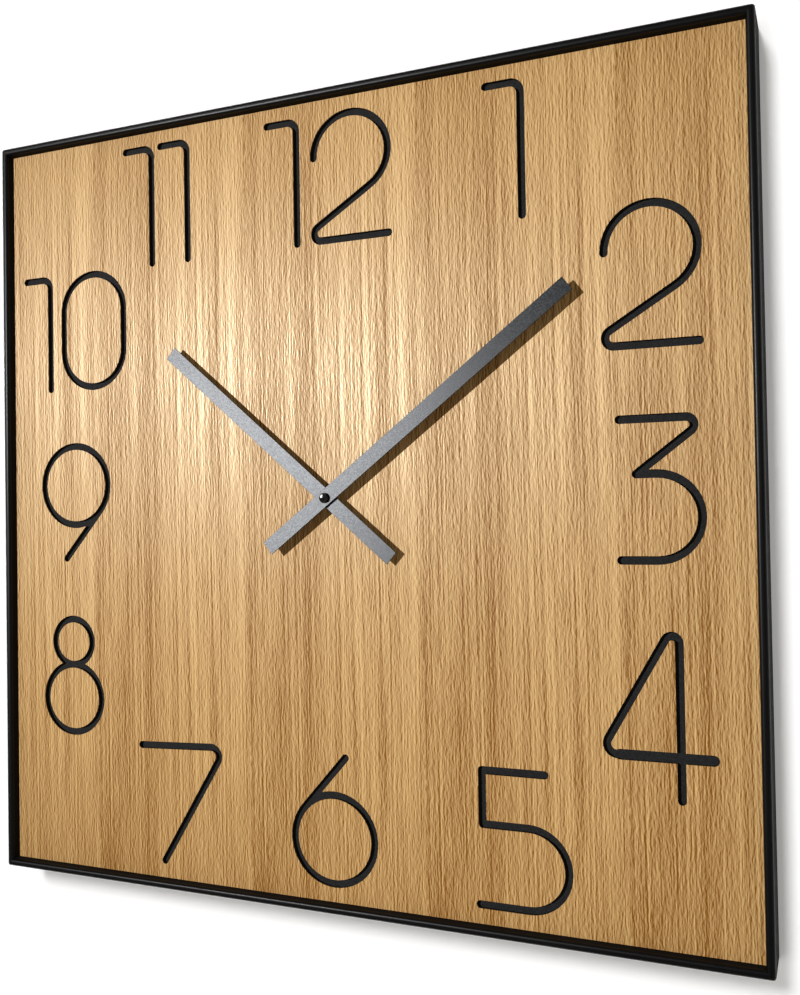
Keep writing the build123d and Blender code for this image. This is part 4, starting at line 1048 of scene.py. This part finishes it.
@dataclass(frozen=True)
class Lamp:
    """A distant lamp: where it stands, how bright it is and how wide it looks.

    Left is to the viewer's left of straight ahead and above is above level. Strength is the light
    on a surface that faces the lamp, and softness is its apparent width. A rear lamp stands behind
    the wall.
    """

    name: str
    left: float
    above: float
    strength: float
    softness: float
    rear: bool = False

    def add(self) -> Piece:
        """Add the lamp to the scene.

        Returns:
            The lamp.
        """
        data = bpy.data.lights.new(self.name, "SUN")
        data.energy = self.strength
        data.angle = math.radians(self.softness)
        lamp = bpy.data.objects.new(self.name, data)
        azimuth = 180 - self.left if self.rear else -self.left
        lamp.rotation_euler = (math.radians(90 - self.above), 0, math.radians(azimuth))
        bpy.context.scene.collection.objects.link(lamp)
        return lamp


@dataclass
class Studio:
    """Camera, lights, and the plain white wall.

    The room changes from pale to dim over a span of the cosine of the angle to the key lamp.
    """

    camera_place: tuple[float, float, float] = (339.2, -721.3, -12.3)
    camera_turn: tuple[float, float, float] = (91.058, 0.887, 23.513)
    camera_clip: tuple[float, float] = (10.0, 50000.0)
    lens: float = 38.127
    shift: tuple[float, float] = (0.0227, -0.0028)
    key_from_left: float = 30.0
    key_from_above: float = 8.0
    key_away: float = 4000.0
    key_radius: float = 40.0
    key_aim: float = 95.0
    key_cone: float = 24.0
    key_strength: float = 2.75
    hand_lamp: Lamp = Lamp("hand_lamp", left=30.5, above=4.5, strength=1.75, softness=19.0)
    cap_lamp: Lamp = Lamp("cap_lamp", left=56.0, above=30.0, strength=16.0, softness=50.0)
    rear_lamp: Lamp = Lamp(
        "rear_lamp", left=30.0, above=35.0, strength=2.2, softness=20.0, rear=True
    )
    wall_low: Lamp = Lamp("wall_low_lamp", left=13.0, above=-6.0, strength=0.5, softness=16.0)
    wall_high: Lamp = Lamp("wall_high_lamp", left=13.0, above=32.0, strength=2.25, softness=16.0)
    room_pale: str = "99958F"
    room_dim: str = "3F3C38"
    room_span: tuple[float, float] = (0.35, 0.9)
    wall_half: float = 4000.0
    wall_opening: float = 297.0
    wall_behind: float = 0.2
    # Matt wall paint: an even white that shows a soft shadow.
    paint: WallPaint = WallPaint("matt_white_wall_paint", "FAFAFA")

    def build(self) -> None:
        """Set up the view, the wall, the lights and the room."""
        self.place_camera()
        self.light(self.wall())
        self.room()
        bpy.context.scene.view_settings.view_transform = "Standard"

    def place_camera(self) -> None:
        """Put the camera where the photograph was taken from."""
        data = bpy.data.cameras.new("photo_camera")
        data.lens = self.lens
        data.shift_x, data.shift_y = self.shift
        data.clip_start, data.clip_end = (value * MM for value in self.camera_clip)
        camera = bpy.data.objects.new("photo_camera", data)
        camera.location = [value * MM for value in self.camera_place]
        camera.rotation_euler = [math.radians(value) for value in self.camera_turn]
        bpy.context.scene.collection.objects.link(camera)
        bpy.context.scene.camera = camera

    def key_way(self) -> tuple[float, float, float]:
        """Work out the direction from the hub to the key lamp.

        Returns:
            A unit vector.
        """
        left, above = math.radians(self.key_from_left), math.radians(self.key_from_above)
        level = math.cos(above)
        return (-math.sin(left) * level, -math.cos(left) * level, math.sin(above))

    def key_lamp(self) -> Piece:
        """Add the lamp that lights the clock, with a soft-edged cone that dims the dial's corners.

        The cone is aimed to the right of the hub, so that the near left edge, which shines most,
        stays even. The lamp's power is what gives the wanted light at the hub: the light at a
        distance is the power over the area of a sphere of that radius.

        Returns:
            The lamp.
        """
        away = self.key_away * MM
        data = bpy.data.lights.new("key_lamp", "SPOT")
        data.shadow_soft_size = self.key_radius * MM
        data.spot_size = math.radians(self.key_cone)
        data.spot_blend = 1.0
        data.energy = self.key_strength * 4 * math.pi * away**2
        lamp = bpy.data.objects.new("key_lamp", data)
        left, above = math.radians(self.key_from_left), math.radians(self.key_from_above)
        lamp.location = [part * away for part in self.key_way()]
        lamp.location.x += self.key_aim * MM
        lamp.rotation_euler = (math.pi / 2 - above, 0, -left)
        bpy.context.scene.collection.objects.link(lamp)
        return lamp

    def group(self, name: str, reach: Reach, pieces: list[Piece]) -> bpy.types.Collection:
        """Collect pieces for a lamp, each marked with the same reach.

        Args:
            name: Name of the collection.
            reach: Whether the lamp acts on only these pieces or on all but these.
            pieces: The pieces.

        Returns:
            The collection, which is not part of the scene.
        """
        made = bpy.data.collections.new(name)
        for number, piece in enumerate(pieces):
            made.objects.link(piece)
            made.collection_objects[number].light_linking.link_state = reach.value
        return made

    def limit(self, lamp: Piece, reach: Reach, pieces: list[Piece]) -> None:
        """Let a lamp light only some pieces, or all but them."""
        lights = self.group(lamp.name + "_lights", reach, pieces)
        lamp.light_linking.receiver_collection = lights

    def light(self, wall: Piece) -> None:
        """Light the clock from the front left, and its back from behind.

        The key lamp is small, for crisp shadows of the hands; the frame's bars cast none from it,
        so that the dial is lit up to its edges. Wider lamps from the same side give the hands their
        long sheen and the cap its glint, and two more, one low and one high, give the wall the soft
        shadow beside and under the frame.

        Args:
            wall: The wall, which has lamps of its own.
        """
        hands = [bpy.data.objects[name] for name in ("hour_hand_strip", "minute_hand_strip")]
        cap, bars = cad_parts["cap_nut"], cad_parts["frame"]
        key = self.key_lamp()
        passes = self.group("key_lamp_passes", Reach.ALL_BUT, [bars])
        key.light_linking.blocker_collection = passes
        self.limit(key, Reach.ALL_BUT, [wall, *hands])
        lamps = (
            (self.hand_lamp, Reach.ONLY, hands),
            (self.cap_lamp, Reach.ONLY, [cap]),
            (self.rear_lamp, Reach.ALL_BUT, [wall]),
            (self.wall_low, Reach.ONLY, [wall]),
            (self.wall_high, Reach.ONLY, [wall]),
        )
        for lamp, reach, pieces in lamps:
            self.limit(lamp.add(), reach, pieces)

    def room(self) -> None:
        """Surround the clock with a plain pale room that is dim towards the key lamp."""
        world = bpy.data.worlds.new("room")
        bpy.context.scene.world = world
        world.use_nodes = True
        tree = world.node_tree
        tree.nodes.clear()
        low, high = self.room_span
        way = add_node(tree, "ShaderNodeTexCoord").outputs["Generated"]
        near = add_node(
            tree, "ShaderNodeVectorMath", {0: way, 1: self.key_way()}, operation="DOT_PRODUCT"
        )
        share = add_node(
            tree, "ShaderNodeMapRange",
            {"Value": near.outputs["Value"], "From Min": low, "From Max": high},
        )
        shade = add_node(
            tree, "ShaderNodeMix",
            {"Factor": share.outputs[0],
             MIX_COLOUR_A: linear(self.room_pale), MIX_COLOUR_B: linear(self.room_dim)},
            data_type="RGBA",
        )
        room = add_node(tree, "ShaderNodeBackground", {"Color": shade.outputs[MIXED_COLOUR]})
        add_node(tree, "ShaderNodeOutputWorld", {"Surface": room.outputs[0]})

    def wall(self) -> Piece:
        """Build the wall as a square ring, open behind the clock so that light reaches its back.

        Its two rows of points are the corners of the opening and those of the wall's edge.

        Returns:
            The wall.
        """
        corners = np.array([[-1, -1], [1, -1], [1, 1], [-1, 1]], float)
        grid = np.zeros((2, len(corners), 3))
        grid[0, :, 0::2] = corners * self.wall_opening
        grid[1, :, 0::2] = corners * self.wall_half
        grid[..., 1] = self.wall_behind
        made = grid_object("wall", grid[::-1], wrap_rows=False, wrap_columns=True)
        made.data.materials.append(self.paint.material())
        return made


def main() -> None:
    """Build the clock piece by piece, then the studio."""
    logging.basicConfig(level=logging.INFO)
    assemblies = (BoxFrame(), OakDial(), Hands(), Battery(), Movement(), WallFittings(), Studio())
    for assembly in assemblies:
        assembly.build()
        LOG.info("finished %s", type(assembly).__name__)


if __name__ == "__main__":
    main()
